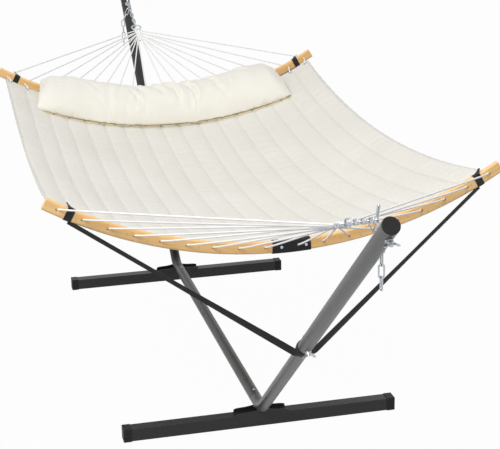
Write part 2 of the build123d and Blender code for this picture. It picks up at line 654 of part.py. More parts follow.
# ---------------------------------------------------------------- steadying straps
def band(sections):
    """Flat webbing through cross sections given as (centre, width direction, face direction)."""
    faces = []
    for centre, across, normal in sections:
        n = Vector(*across).cross(Vector(*normal)).normalized()
        faces.append(Plane(centre, x_dir=across, z_dir=n) * Rectangle(WEBBING_W, WEBBING_T))
    return loft(faces, ruled=True)


def bar_wrap(arc):
    """Webbing wrapped once round the bar."""
    gap = SOFT_GAP
    c = bar_point(arc)
    plane = Plane(c, x_dir=Y_DIR, z_dir=bar_along(arc))
    outer = RectangleRounded(BAR_THICK + 2 * (gap + WEBBING_T), BAR_HEIGHT + 2 * (gap + WEBBING_T), 7.0)
    inner = RectangleRounded(BAR_THICK + 2 * gap, BAR_HEIGHT + 2 * gap, 6.0)
    return extrude(plane * (outer - inner), amount=WEBBING_W / 2, both=True)


ARM_WRAP_S = ARM_SPLIT - WEBBING_W / 2 - 1.5
wrap_inner = TUBE_R + SOFT_GAP
arm_wrap_c = on_arm(ARM_WRAP_S)
arm_wrap = rod(on_arm(ARM_WRAP_S - WEBBING_W / 2), on_arm(ARM_WRAP_S + WEBBING_W / 2), wrap_inner + WEBBING_T)
arm_wrap -= rod(on_arm(ARM_WRAP_S - 20), on_arm(ARM_WRAP_S + 20), wrap_inner)
wraps = []
runs = []
for side in (-1, 1):
    arc = side * STRAP_ARC
    wraps.append(bar_wrap(arc))
    under = BAR_HEIGHT / 2 + 2 * SOFT_GAP + 1.5 * WEBBING_T
    start = bar_point(arc) - bar_up(arc) * under - bar_along(arc) * (side * 6.0)
    loop_out = wrap_inner + WEBBING_T + SOFT_GAP + WEBBING_T / 2
    line = (arm_wrap_c - start).normalized()
    radial = line.cross(ARM_DIR).normalized()
    radial = radial if radial.dot(ARM_IN) < 0 else -radial
    end = arm_wrap_c + radial * loop_out
    line = (end - start).normalized()
    across0 = (Y_DIR - line * Y_DIR.dot(line)).normalized()
    across1 = (ARM_DIR - line * ARM_DIR.dot(line)).normalized()
    sections = []
    steps = 6
    for k in range(steps + 1):
        t = k / steps
        across = (across0 * (1 - t) + across1 * t).normalized()
        across = (across - line * across.dot(line)).normalized()
        normal = line.cross(across).normalized()
        sections.append((start + (end - start) * t, across, normal))
    runs.append(band(sections))
both_ends("strap_bar_wraps", wraps)
both_ends("strap_runs", runs)
both_ends("strap_arm_loop", arm_wrap)
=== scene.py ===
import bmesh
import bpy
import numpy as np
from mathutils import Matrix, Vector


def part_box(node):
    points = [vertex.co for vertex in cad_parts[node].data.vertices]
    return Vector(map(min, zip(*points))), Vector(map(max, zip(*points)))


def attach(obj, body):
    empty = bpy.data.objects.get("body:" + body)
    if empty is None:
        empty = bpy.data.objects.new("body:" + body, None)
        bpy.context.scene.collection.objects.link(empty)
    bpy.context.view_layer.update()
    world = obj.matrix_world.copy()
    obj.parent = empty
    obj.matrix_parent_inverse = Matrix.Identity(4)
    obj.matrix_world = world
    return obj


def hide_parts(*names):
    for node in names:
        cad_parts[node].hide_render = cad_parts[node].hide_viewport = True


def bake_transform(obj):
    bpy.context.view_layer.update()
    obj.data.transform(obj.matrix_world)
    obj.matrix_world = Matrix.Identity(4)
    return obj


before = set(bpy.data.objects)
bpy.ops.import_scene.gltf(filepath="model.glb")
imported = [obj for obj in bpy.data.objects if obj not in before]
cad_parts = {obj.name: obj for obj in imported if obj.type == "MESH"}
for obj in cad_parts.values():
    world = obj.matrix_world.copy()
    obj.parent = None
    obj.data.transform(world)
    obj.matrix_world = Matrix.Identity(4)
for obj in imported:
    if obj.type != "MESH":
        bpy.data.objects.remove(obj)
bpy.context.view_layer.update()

# %% [markdown]
# ## A quilted hammock on a steel stand
# The frame that was just loaded holds every hard part at its true size: tubes,
# bars, chain, hooks. What it can't hold is cloth and cord. This lesson dresses
# the frame: a quilted bed, a stuffed pillow, fanned ropes and black webbing,
# and a finish for each hard part.

BAR_Y, BAR_MID_Z, BAR_RADIUS = 1.0, 0.690, 1.285
BAR_HALF_HEIGHT, BAR_HALF_THICK = 0.018, 0.009
HOLE_GAP, HOLE_PITCH, ROPES_PER_SIDE = 0.098, 0.0766, 9
ROPE_RADIUS = 0.0023
FULL_ROPE = 0.0028      # the fan and the lacing are drawn a little fuller

# %% [markdown]
# ## The camera
# A long lens from above the foot end, a little to the left. The three columns
# of its turn are right, up and back.

# %% Place the camera
CAMERA_AT = np.array([-0.9216, -4.5005, 1.8883])
YAW, PITCH, ROLL = np.radians([13.353, 17.365, -1.021])


def camera_turn(yaw, pitch, roll):
    """Right, up and back of a camera: aim by yaw and pitch, then roll about the aim."""
    aim = np.array([np.sin(yaw) * np.cos(pitch), np.cos(yaw) * np.cos(pitch), -np.sin(pitch)])
    level = np.array([np.cos(yaw), -np.sin(yaw), 0.0])
    above = np.cross(level, aim)
    right = level * np.cos(roll) + above * np.sin(roll)
    up = above * np.cos(roll) - level * np.sin(roll)
    return np.column_stack([right, up, -aim])


def placed(turn, at):
    """A turn and a place as one matrix."""
    whole = np.eye(4)
    whole[:3, :3], whole[:3, 3] = turn, at
    return Matrix(whole.tolist())


camera_data = bpy.data.cameras.new("view")
camera_data.sensor_width = 36.0
camera_data.lens = 95.57
camera_data.clip_end = 200.0
camera = bpy.data.objects.new("view", camera_data)
camera.matrix_world = placed(camera_turn(YAW, PITCH, ROLL), CAMERA_AT)
bpy.context.collection.objects.link(camera)
bpy.context.scene.camera = camera
print("camera at", CAMERA_AT, "lens", camera_data.lens)

# %% [markdown]
# ## Surfaces from arrays
# A soft piece here is a grid of points worked out at once, joined row to row.
# A piece is kept as three arrays (points, four-sided faces, three-sided faces)
# with a place on the cloth for every face corner, so that a weave can follow
# the surface even where a grid closes on itself.


# %% Grids, rings and sweeps
def grid_faces(rows, cols, round_rows=False, round_cols=False):
    """Four-sided faces of a rows by cols grid, and each corner's row and column."""
    i, j = np.meshgrid(np.arange(rows - (not round_rows)), np.arange(cols - (not round_cols)),
                       indexing="ij")
    i, j = i.ravel(), j.ravel()
    ci = np.stack([i, i + 1, i + 1, i], 1)
    cj = np.stack([j, j, j + 1, j + 1], 1)
    return (ci % rows) * cols + cj % cols, ci, cj


def end_fans(rows, cols):
    """Three-sided faces that close a round grid: its first and its last row, each joined
    to a middle point. The two middle points come right after the grid's own."""
    ring = np.arange(cols)
    after = (ring + 1) % cols
    last_row = (rows - 1) * cols
    first = np.stack([np.full(cols, rows * cols), after, ring], 1)
    last = np.stack([np.full(cols, rows * cols + 1), last_row + ring, last_row + after], 1)
    return np.concatenate([first, last])


def full_turn(count):
    """Even angles round a full turn."""
    return np.linspace(0, 2 * np.pi, count, endpoint=False)


def unit(vectors):
    """Each vector divided by its length."""
    vectors = np.asarray(vectors, float)
    return vectors / np.linalg.norm(vectors, axis=-1, keepdims=True)


def joined(parts):
    """Several pieces as one: points stacked, faces counted on from the last piece."""
    start = np.cumsum([0] + [len(p["co"]) for p in parts[:-1]])
    return {
        "co": np.concatenate([p["co"] for p in parts]),
        "quads": np.concatenate([p["quads"] + s for p, s in zip(parts, start)]),
        "quad_uv": np.concatenate([p["quad_uv"] for p in parts]),
        "tris": np.concatenate([p["tris"] + s for p, s in zip(parts, start)]),
        "tri_uv": np.concatenate([p["tri_uv"] for p in parts]),
    }


def turned_round(part):
    """The same piece at the other end: x and y change sign, a half turn about the upright."""
    return {**part, "co": part["co"] * np.array([-1.0, -1.0, 1.0])}


def along_line(path):
    """Distance of each point of a line from its start."""
    return np.concatenate([[0.0], np.cumsum(np.linalg.norm(np.diff(path, axis=0), axis=1))])


def fine_line(points, step, rounds=3):
    """A line through corners, cut smooth: each round replaces a corner by points a
    quarter and three quarters along its two sides; then points at even steps."""
    line = np.asarray(points, float)
    for _ in range(rounds):
        near = line[:-1] * 0.75 + line[1:] * 0.25
        far = line[:-1] * 0.25 + line[1:] * 0.75
        line = np.concatenate([line[:1], np.stack([near, far], 1).reshape(-1, 3), line[-1:]])
    along = along_line(line)
    even = np.linspace(0.0, along[-1], max(int(round(along[-1] / step)), 2) + 1)
    return np.stack([np.interp(even, along, line[:, k]) for k in range(3)], 1)


def carried(path, section, side, lift, closed=False):
    """A closed section carried along a path: point + section x * side + section y * lift."""
    n, m = len(path), section.shape[-2]
    section = np.broadcast_to(section, (n, m, 2))
    co = path[:, None] + section[..., :1] * side[:, None] + section[..., 1:] * lift[:, None]
    quads, ci, cj = grid_faces(n, m, round_rows=closed, round_cols=True)
    run = along_line(np.concatenate([path, path[:1]]) if closed else path)
    quad_uv = np.stack([cj / m, run[ci]], -1)
    co = co.reshape(-1, 3)
    if closed:
        return {"co": co, "quads": quads, "quad_uv": quad_uv,
                "tris": np.zeros((0, 3), int), "tri_uv": np.zeros((0, 3, 2))}
    tri_uv = np.zeros((2 * m, 3, 2))
    tri_uv[m:, :, 1] = run[-1]
    return {"co": np.concatenate([co, path[:1], path[-1:]]), "quads": quads, "quad_uv": quad_uv,
            "tris": end_fans(n, m), "tri_uv": tri_uv}


def line_frame(path, towards, closed=False):
    """Side and lift of each point of a line: square to its run, side also to `towards`."""
    ahead = (np.roll(path, -1, 0) - np.roll(path, 1, 0)) if closed else np.gradient(path, axis=0)
    ahead = unit(ahead)
    side = unit(np.cross(ahead, towards))
    return side, np.cross(side, ahead)


def laid_rope(path, radius, towards, lay=0.016, around=10, closed=False):
    """Three strands laid together: the radius swells and dips three times round the rope,
    and those lobes turn once in each `lay` of length."""
    run = along_line(path)
    angle = full_turn(around)
    turns = np.round(run[-1] / lay) / max(run[-1], 1e-6) if closed else 1 / lay
    lobe = np.abs(np.cos(1.5 * (angle[None] - 2 * np.pi * run[:, None] * turns)))
    size = radius * (0.89 + 0.11 * lobe)
    section = np.stack([size * np.cos(angle), size * np.sin(angle)], -1)
    side, lift = line_frame(path, np.asarray(towards, float), closed)
    return carried(path, section, side, lift, closed)


def new_piece(name, part, body, material, stands_for=()):
    """Puts the arrays into a mesh, faces outwards, puts it on its body and hides the
    frame parts it stands for. A piece given no body is left unattached."""
    mesh = bpy.data.meshes.new(name)
    loops = np.concatenate([part["quads"].ravel(), part["tris"].ravel()]).astype(np.int32)
    sizes = np.repeat([4, 3], [len(part["quads"]), len(part["tris"])])
    starts = np.concatenate([[0], np.cumsum(sizes)[:-1]]).astype(np.int32)
    mesh.vertices.add(len(part["co"]))
    mesh.vertices.foreach_set("co", part["co"].astype(np.float32).ravel())
    mesh.loops.add(len(loops))
    mesh.loops.foreach_set("vertex_index", loops)
    mesh.polygons.add(len(sizes))
    mesh.polygons.foreach_set("loop_start", starts)
    mesh.polygons.foreach_set("use_smooth", np.ones(len(sizes), bool))
    mesh.update(calc_edges=True)
    uv = np.concatenate([part["quad_uv"].reshape(-1, 2), part["tri_uv"].reshape(-1, 2)])
    mesh.uv_layers.new(name="cloth").data.foreach_set("uv", uv.astype(np.float32).ravel())
    work = bmesh.new()
    work.from_mesh(mesh)
    bmesh.ops.recalc_face_normals(work, faces=work.faces)
    work.to_mesh(mesh)
    work.free()
    piece = bpy.data.objects.new(name, mesh)
    bpy.context.collection.objects.link(piece)
    mesh.materials.append(material)
    if body:
        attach(piece, body)
    if stands_for:
        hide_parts(*stands_for)
    print(f"{name}: {len(part['co'])} points, {len(sizes)} faces")
    return piece


def both_ends(name, part, body, material, node):
    """The same piece at the head end and, turned round, at the foot end."""
    return [new_piece(f"{end}_{name}", shape, body, material, [f"{end}_{node}"])
            for end, shape in (("head", part), ("foot", turned_round(part)))]


def shown_mesh(piece):
    """A new mesh of the piece as its modifiers leave it."""
    return bpy.data.meshes.new_from_object(piece.evaluated_get(bpy.context.evaluated_depsgraph_get()))


print("surface tools ready")

# %% [markdown]
# ## Finishes
# Each finish is a small network of nodes. A helper adds a node and fills its
# inputs, so that a finish reads like its recipe: what the pattern follows,
# the pattern, and what it does to colour, roughness and bump.


# %% A short way to write node networks
def shade(colour, factor):
    """The colour made lighter or darker."""
    return tuple(factor * c for c in colour)


class Finish:
    """One material: `add` makes a node, links or sets its inputs, and returns it."""

    def __init__(self, name, colour, rough, metallic=0.0, specular=0.5):
        self.material = bpy.data.materials.new(name)
        self.material.use_nodes = True
        self.nodes = self.material.node_tree.nodes
        self.links = self.material.node_tree.links
        self.shader = self.nodes["Principled BSDF"]
        self.put(self.shader, "Base Color", (*colour, 1.0))
        self.put(self.shader, "Roughness", rough)
        self.put(self.shader, "Metallic", metallic)
        self.put(self.shader, "Specular IOR Level", specular)

    def put(self, node, socket, value):
        """Links an output, or sets a plain value."""
        target = node.inputs[socket]
        if isinstance(value, bpy.types.Node):
            value = value.outputs[0]
        if isinstance(value, bpy.types.NodeSocket):
            self.links.new(value, target)
        else:
            target.default_value = value

    def add(self, kind, settings=None, **inputs):
        node = self.nodes.new("ShaderNode" + kind)
        for key, value in (settings or {}).items():
            setattr(node, key, value)
        for key, value in inputs.items():
            self.put(node, int(key[1:]) if key[0] == "i" and key[1:].isdigit() else key, value)
        return node

    def maths(self, operation, a, b=0.0, c=0.0):
        return self.add("Math", {"operation": operation}, i0=a, i1=b, i2=c)

    def times(self, a, b):
        return self.maths("MULTIPLY", a, b)

    def place(self, kind="Object", stretch=(1, 1, 1)):
        """Object or UV coordinates, stretched."""
        source = self.add("TexCoord").outputs[kind]
        mapping = self.add("Mapping", Scale=stretch)
        self.put(mapping, "Vector", source)
        return mapping.outputs[0]

    def cloth_map(self):
        """The piece's own map: across the cloth, and along its length."""
        return self.add("SeparateXYZ", Vector=self.place("UV")).outputs[:2]

    def noise(self, where, scale, detail=3.0, rough=0.5):
        return self.add("TexNoise", Vector=where, Scale=scale, Detail=detail,
                        Roughness=rough).outputs["Fac"]

    def ramp(self, value, low, high, out_low=0.0, out_high=1.0):
        """A value between low and high spread to between out_low and out_high."""
        return self.add("MapRange", i0=value, i1=low, i2=high, i3=out_low, i4=out_high).outputs[0]

    def mix(self, share, a, b, blend="MIX"):
        node = self.add("Mix", {"data_type": "RGBA", "blend_type": blend})
        self.put(node, 0, share)
        self.put(node, 6, (*a, 1.0) if isinstance(a, tuple) else a)
        self.put(node, 7, (*b, 1.0) if isinstance(b, tuple) else b)
        return node.outputs[2]

    def colour(self, value):
        self.put(self.shader, "Base Color", value)

    def rough(self, value):
        self.put(self.shader, "Roughness", value)

    def bump(self, height, distance, strength=1.0):
        node = self.add("Bump", Height=height, Strength=strength, Distance=distance)
        if self.shader.inputs["Normal"].is_linked:
            self.put(node, "Normal", self.shader.inputs["Normal"].links[0].from_socket)
        self.put(self.shader, "Normal", node)


print("finish helper ready")

# %% [markdown]
# ### Powder-coated steel
# Powder coat melts on in the oven, so it has a faint orange-peel skin and a
# satin sheen. The arms carry a grey coat with metal flake; the base tubes and
# saddles a near-black one. Fingers and rain leave a slow change in gloss, and
# scattered patches are scuffed paler.


# %% Powder coats
def powder_coat(name, colour, pale, metallic, rough):
    finish = Finish(name, colour, rough, metallic, specular=0.35)
    here = finish.place()
    cloud = finish.noise(here, 7.0, 4.0, 0.6)
    flake = finish.noise(here, 1400.0, 1.0)
    peel = finish.noise(here, 420.0, 2.0)
    scuff = finish.ramp(finish.noise(here, 38.0, 6.0, 0.72), 0.66, 0.78)
    tone = finish.mix(finish.ramp(cloud, 0.3, 0.7), shade(colour, 0.9), shade(colour, 1.1))
    tone = finish.mix(finish.ramp(flake, 0.56, 0.74, 0.0, 0.5), tone, pale)
    tone = finish.mix(finish.times(scuff, 0.22), tone, pale)
    finish.colour(tone)
    finish.rough(finish.ramp(cloud, 0.2, 0.8, rough - 0.06, rough + 0.07))
    finish.bump(peel, 0.00035, 0.5)
    finish.bump(scuff, 0.0001, 0.4)
    return finish.material


grey_paint = powder_coat("grey_powder_coat", (0.145, 0.145, 0.147), (0.34, 0.34, 0.345), 0.55, 0.40)
tube_paint = powder_coat("centre_tube_coat", (0.085, 0.085, 0.083), (0.24, 0.24, 0.235), 0.5, 0.40)
# Painted shade: the arms' grey coat made darker for the head end, whose arms are seen in shade.
head_arm_painted_shade = powder_coat("charcoal_powder_coat", (0.034, 0.034, 0.035), (0.11, 0.11, 0.112), 0.35, 0.44)
dark_paint = powder_coat("dark_powder_coat", (0.018, 0.018, 0.019), (0.11, 0.11, 0.112), 0.1, 0.40)
print("powder coats:", grey_paint.name, tube_paint.name, head_arm_painted_shade.name, dark_paint.name)

# %% [markdown]
# ### Moulded plastic, bright zinc and dark eyelets
# End caps and the bar sleeves are moulded: matt, finely grained. Chain, hooks
# and nuts are zinc plated, which is a cool, slightly streaked silver.


# %% Plastic and zinc
def moulded_plastic(name, colour):
    finish = Finish(name, colour, 0.5, specular=0.22)
    here = finish.place()
    grain = finish.add("TexVoronoi", Vector=here, Scale=900.0).outputs["Distance"]
    cloud = finish.noise(here, 22.0, 4.0)
    finish.colour(finish.mix(cloud, shade(colour, 0.75), shade(colour, 1.35)))
    finish.rough(finish.ramp(cloud, 0.3, 0.7, 0.42, 0.56))
    finish.bump(grain, 0.00025, 0.6)
    return finish.material


def plated_metal(name, colour, rough):
    finish = Finish(name, colour, rough, 0.92)
    here = finish.place()
    cloud = finish.noise(here, 60.0, 4.0, 0.6)
    streak = finish.noise(finish.place(stretch=(900, 900, 120)), 1.0, 2.0)
    tone = finish.mix(cloud, shade(colour, 0.72), shade(colour, 1.0))
    finish.colour(tone)
    finish.rough(finish.ramp(streak, 0.3, 0.7, rough - 0.07, rough + 0.1))
    finish.bump(streak, 0.00008, 0.4)
    return finish.material


black_plastic = moulded_plastic("moulded_black_plastic", (0.014, 0.014, 0.015))
zinc = plated_metal("bright_zinc", (0.60, 0.63, 0.66), 0.2)
eyelet_metal = plated_metal("eyelet_steel", (0.5, 0.51, 0.53), 0.34)
print("plastic and metals:", black_plastic.name, zinc.name, eyelet_metal.name)

# %% [markdown]
# ### Bamboo
# The spreader bars are bamboo strips glued flat and bent into an arc. The
# fibres run along the bar, so the pattern is drawn in the bar's own round
# coordinates: the distance from the arc's centre, and the angle round it.


# %% Bamboo that follows the bar's arc
def bamboo_finish():
    """Along = angle about the arc's centre times its radius; height = distance from it."""
    finish = Finish("bent_bamboo", (0.88, 0.54, 0.21), 0.4)
    split = finish.add("SeparateXYZ", Vector=finish.add("TexCoord").outputs["Object"])
    x, y, z = split.outputs
    down = finish.maths("SUBTRACT", BAR_MID_Z + BAR_RADIUS, z)
    along = finish.times(finish.maths("ARCTAN2", x, down), BAR_RADIUS)
    reach = finish.maths("SQRT", finish.maths("ADD", finish.times(x, x), finish.times(down, down)))
    fibre_place = finish.add("CombineXYZ", X=finish.times(along, 7.0), Y=finish.times(y, 520.0),
                             Z=finish.times(reach, 520.0))
    fibre = finish.noise(fibre_place, 1.0, 4.0, 0.62)
    broad_place = finish.add("CombineXYZ", X=finish.times(along, 3.0), Y=finish.times(y, 60.0),
                             Z=finish.times(reach, 75.0))
    broad = finish.noise(broad_place, 1.0, 2.0)
    strip = finish.maths("FLOOR", finish.times(reach, 1 / 0.0072))
    strip_tone = finish.add("TexWhiteNoise", {"noise_dimensions": "1D"}, W=strip).outputs[0]
    shifted = finish.maths("ADD", along, finish.times(strip_tone, 0.21))
    to_node = finish.maths("PINGPONG", shifted, 0.105)
    node_line = finish.ramp(to_node, 0.0, 0.0035, 1.0, 0.0)
    tone = finish.mix(finish.ramp(broad, 0.3, 0.7), (0.86, 0.49, 0.165), (0.96, 0.64, 0.29))
    tone = finish.mix(finish.ramp(fibre, 0.5, 0.72, 0.0, 0.6), tone, (0.68, 0.34, 0.10))
    tone = finish.mix(finish.ramp(strip_tone, 0.0, 1.0, 0.0, 0.2), tone, (0.95, 0.68, 0.36))
    tone = finish.mix(finish.times(node_line, 0.4), tone, (0.50, 0.24, 0.07))
    finish.colour(tone)
    finish.rough(finish.ramp(fibre, 0.3, 0.7, 0.34, 0.5))
    finish.put(finish.shader, "Coat Weight", 0.25)
    finish.put(finish.shader, "Coat Roughness", 0.22)
    finish.bump(fibre, 0.0004, 0.5)
    finish.bump(node_line, 0.0003, 0.5)
    return finish.material


bamboo = bamboo_finish()
print("bamboo:", bamboo.name)


# %% [markdown]
# ### Rope, cloth and webbing
# Cloth finishes read the piece's own map, where one unit is one metre of
# cloth, so the weave keeps its real scale: about 0.7 mm a thread in the bed,
# finer in the pillow, and a rib every 1.6 mm in the webbing.


# %% Cotton rope
def rope_finish():
    """Fine fibres that run slantwise along the strands, and painted shade in the grooves between them."""
    finish = Finish("white_rope", (0.93, 0.928, 0.915), 0.85, specular=0.25)
    across, length = finish.cloth_map()
    slant = finish.maths("SUBTRACT", finish.times(across, 3.0), finish.times(length, 190.0))
    painted_groove_shade = finish.maths("PINGPONG", slant, 0.5)
    fibre_place = finish.add("CombineXYZ", X=finish.times(across, 26.0), Y=finish.times(length, 900.0))
    fibre = finish.noise(fibre_place, 1.0, 3.0)
    # The grooves between the strands are painted darker: painted shade.
    tone = finish.mix(finish.ramp(painted_groove_shade, 0.0, 0.2), (0.91, 0.908, 0.90), (0.985, 0.984, 0.978))
    finish.colour(finish.mix(finish.ramp(fibre, 0.35, 0.75, 0.0, 0.2), tone, (0.92, 0.918, 0.905)))
    finish.put(finish.shader, "Sheen Weight", 0.9)
    finish.put(finish.shader, "Sheen Roughness", 0.45)
    finish.bump(fibre, 0.00012, 0.4)
    return finish.material


def woven(finish, thread, depth):
    """Plain weave: two sets of threads as sine ridges, one along and one across."""
    across, length = finish.cloth_map()
    turn = 2 * np.pi / (2 * thread)
    warp = finish.maths("SINE", finish.times(across, turn))
    weft = finish.maths("SINE", finish.times(length, turn))
    finish.bump(finish.times(warp, weft), depth, 0.6)
    return across, length


CHANNELS, BED_HALF_ARC, BED_HALF_Y, HEM = 17, 0.672, 0.955, 0.030
CHANNEL_WIDTH = 2 * BED_HALF_ARC / CHANNELS


def quilt_finish():
    """Ivory cotton: weave, slubs, painted shade along each seam and a row of stitches in it."""
    finish = Finish("ivory_quilt", (0.82, 0.795, 0.725), 0.88, specular=0.2)
    across, length = woven(finish, 0.0007, 0.0003)
    slub = finish.noise(finish.place("UV", (700, 60, 1)), 1.0, 2.0)
    cloud = finish.noise(finish.place("UV", (3, 3, 1)), 1.0, 4.0)
    count = finish.maths("DIVIDE", finish.maths("ADD", across, BED_HALF_ARC), CHANNEL_WIDTH)
    from_seam = finish.times(finish.maths("PINGPONG", count, 0.5), CHANNEL_WIDTH)
    seam = finish.ramp(from_seam, 0.0006, 0.0055, 1.0, 0.0)
    thread = finish.ramp(from_seam, 0.0006, 0.0011, 1.0, 0.0)
    dash = finish.ramp(finish.maths("PINGPONG", length, 0.0019), 0.0005, 0.0007)
    stitch = finish.times(thread, dash)
    tone = finish.mix(finish.ramp(cloud, 0.3, 0.7), (0.835, 0.81, 0.745), (0.885, 0.862, 0.80))
    tone = finish.mix(finish.ramp(slub, 0.55, 0.8, 0.0, 0.35), tone, (0.77, 0.74, 0.665))
    # Painted shade along the seams, where the puffed channels dip.
    tone = finish.mix(finish.times(seam, 0.32), tone, (0.70, 0.67, 0.59))
    tone = finish.mix(finish.times(stitch, 0.7), tone, (0.88, 0.865, 0.81))
    finish.colour(tone)
    finish.put(finish.shader, "Sheen Weight", 0.2)
    finish.bump(slub, 0.0003, 0.4)
    finish.bump(stitch, 0.0005, 0.8)
    return finish.material


def plain_cotton(name, low, high, thread):
    """Woven cotton on Object coordinates, for pieces whose map was lost in remeshing."""
    finish = Finish(name, high, 0.9, specular=0.2)
    here = finish.place()
    x, y, z = finish.add("SeparateXYZ", Vector=here).outputs
    turn = np.pi / thread
    ridge = finish.maths("SINE", finish.times(x, turn))
    cross = finish.maths("SINE", finish.times(finish.maths("ADD", y, z), turn))
    cloud = finish.noise(here, 9.0, 4.0)
    slub = finish.noise(finish.place(stretch=(90, 900, 900)), 1.0, 2.0)
    tone = finish.mix(finish.ramp(cloud, 0.3, 0.7), low, high)
    finish.colour(finish.mix(finish.ramp(slub, 0.6, 0.85, 0.0, 0.25), tone, shade(low, 0.86)))
    finish.put(finish.shader, "Sheen Weight", 0.3)
    finish.bump(finish.times(ridge, cross), 0.0002, 0.5)
    finish.bump(slub, 0.0003, 0.3)
    return finish.material


def webbing_finish(name, colour, pale):
    """Ribs across the strap, one set of threads along it, paler worn threads, and painted shade in the rib
    hollows.
    """
    finish = Finish(name, colour, 0.72, specular=0.35)
    across, length = finish.cloth_map()
    rib = finish.maths("SINE", finish.times(length, 2 * np.pi / 0.0016))
    thread = finish.maths("SINE", finish.times(across, 2 * np.pi * 26))
    wear = finish.noise(finish.place("UV", (14, 60, 1)), 1.0, 5.0, 0.7)
    tone = finish.mix(finish.ramp(wear, 0.5, 0.8, 0.0, 0.5), colour, pale)
    # The rib hollows are painted darker: painted shade.
    finish.colour(finish.mix(finish.ramp(rib, -1.0, 1.0, 0.35, 0.0), tone, shade(colour, 0.72)))
    finish.put(finish.shader, "Sheen Weight", 0.15)
    finish.bump(finish.maths("ADD", rib, finish.times(thread, 0.5)), 0.0004, 0.7)
    return finish.material


def piping_finish():
    """Golden cord with painted shade in the grooves of its twist, and a darker tie of thread every 64 mm, 8
    mm long.
    """
    finish = Finish("tan_piping", (0.86, 0.66, 0.30), 0.7, specular=0.3)
    across, length = finish.cloth_map()
    tie = finish.ramp(finish.maths("PINGPONG", length, 0.032), 0.0038, 0.0048, 1.0, 0.0)
    slant = finish.maths("ADD", finish.times(length, 2600.0), finish.times(across, 2 * np.pi))
    twist = finish.maths("SINE", slant)
    # Painted shading: darker in the twist's grooves and lighter on its crests.
    tone = finish.mix(finish.ramp(twist, -1.0, 1.0), (0.74, 0.53, 0.21), (0.90, 0.71, 0.36))
    finish.colour(finish.mix(tie, tone, (0.40, 0.28, 0.10)))
    finish.bump(twist, 0.0003, 0.6)
    return finish.material


white_rope = rope_finish()
ivory_cloth = quilt_finish()
pillow_cloth = plain_cotton("pillow_cotton", (0.86, 0.84, 0.765), (0.895, 0.875, 0.80), 0.0005)
black_webbing = webbing_finish("black_webbing", (0.011, 0.011, 0.012), (0.05, 0.05, 0.052))
ivory_binding = webbing_finish("ivory_binding", (0.85, 0.83, 0.765), (0.90, 0.88, 0.82))
tan_cord = piping_finish()
print("cloth finishes:", white_rope.name, ivory_cloth.name, pillow_cloth.name, black_webbing.name)

# %% [markdown]
# ## Dressing the hard parts
# A hard part keeps its shape from the frame and only gets its finish. Each
# part's name ends in what it is, at the head end and the foot end alike.

# %% Give every hard part its finish
FINISH_OF = {
    # The head end's arms take the darkened grey coat: painted shade on the same paint as the foot end's.
    "head_upper_arm": head_arm_painted_shade, "head_lower_arm": head_arm_painted_shade,
    "upper_arm": grey_paint, "lower_arm": grey_paint, "centre_tube": tube_paint,
    "base_tube": dark_paint, "saddle_plates": dark_paint,
    "base_caps": black_plastic, "arm_cap": black_plastic, "bar_sleeve": black_plastic,
    "bar_left_half": bamboo, "bar_right_half": bamboo,
}
for node_name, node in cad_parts.items():
    kind = node_name.replace("head_", "").replace("foot_", "")
    finish = FINISH_OF.get(node_name, FINISH_OF.get(kind, zinc))
    node.data.materials.clear()
    node.data.materials.append(finish)
print("finished", len(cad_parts), "hard parts")


# %% [markdown]
# ## The spreader bar's curve
# The bed, ropes and straps all hang from the two bars, so their shapes start
# from one curve: a circle's arc in the upright plane above the bar's middle.


# %% Points on and about the bar
def bar_point(arc, y=BAR_Y, up=0.0):
    """Arc / radius is the angle; x is sine, z is the middle's height plus the rise."""
    phi = np.asarray(arc, float) / BAR_RADIUS
    r = BAR_RADIUS - up
    return np.stack([r * np.sin(phi), y + 0 * phi, BAR_MID_Z + BAR_RADIUS - r * np.cos(phi)], -1)


def bar_up(arc):
    phi = arc / BAR_RADIUS
    return np.array([-np.sin(phi), 0.0, np.cos(phi)])


def bar_along(arc):
    phi = arc / BAR_RADIUS
    return np.array([np.cos(phi), 0.0, np.sin(phi)])


def arc_at(x):
    """The arc at which the bar's curve is this far to the side."""
    return np.arcsin(np.clip(x / BAR_RADIUS, -1, 1)) * BAR_RADIUS


RANKS = np.arange(ROPES_PER_SIDE)
HOLES = [(side, rank, side * (HOLE_GAP / 2 + rank * HOLE_PITCH)) for side in (-1, 1) for rank in RANKS]
print("rope holes a bar:", len(HOLES))

# %% [markdown]
# ## The quilted bed
# Two layers of cotton with wadding between them, stitched together in long
# channels. It could be a flat sheet with a cloth simulation, but a stretched
# bed barely wrinkles; what shows is the puff of each channel, the small
# puckers that the seam thread pulls, and the flat hem where the eyelets sit.
# So the bed is one closed sheet whose thickness is a function of the place.

# %% The bed's middle surface
BED_SAG, BED_EDGE_RISE, BED_DROP = 0.112, 0.020, 0.012
DRAW_IN = 0.006     # share of its width that the bed loses half way along


def bed_sag(arc):
    """Depth of the hang half way along: less towards the side edges."""
    return BED_SAG - BED_EDGE_RISE * (arc / BED_HALF_ARC) ** 2


def bed_middle(arc, y):
    """The bar's arc, let down by a parabola between the two ends."""
    v = y / BED_HALF_Y
    phi = arc / BAR_RADIUS
    z = BAR_MID_Z - BED_DROP + BAR_RADIUS * (1 - np.cos(phi)) - bed_sag(arc) * (1 - v * v)
    return np.stack([BAR_RADIUS * np.sin(phi), y, z], -1)


def bed_normal(co):
    """Upward normal of a grid of points, from its two sets of differences."""
    return unit(np.cross(np.gradient(co, axis=0), np.gradient(co, axis=1)))


def ease(value, low, high):
    """0 below low, 1 above high, smooth between."""
    t = np.clip((value - low) / (high - low), 0.0, 1.0)
    return t * t * (3 - 2 * t)


rng = np.random.default_rng(20)
STEPS_PER_CHANNEL, BED_ROWS = 8, 221
channel_u = np.linspace(-1, 1, CHANNELS * STEPS_PER_CHANNEL + 1)
row_v = np.linspace(-1, 1, BED_ROWS)
U, V = np.meshgrid(channel_u, row_v, indexing="ij")
flat_arc, flat_y = U * BED_HALF_ARC, V * BED_HALF_Y
bed_arc = flat_arc * (1 - DRAW_IN * (1 - V * V))
print("bed grid", U.shape)


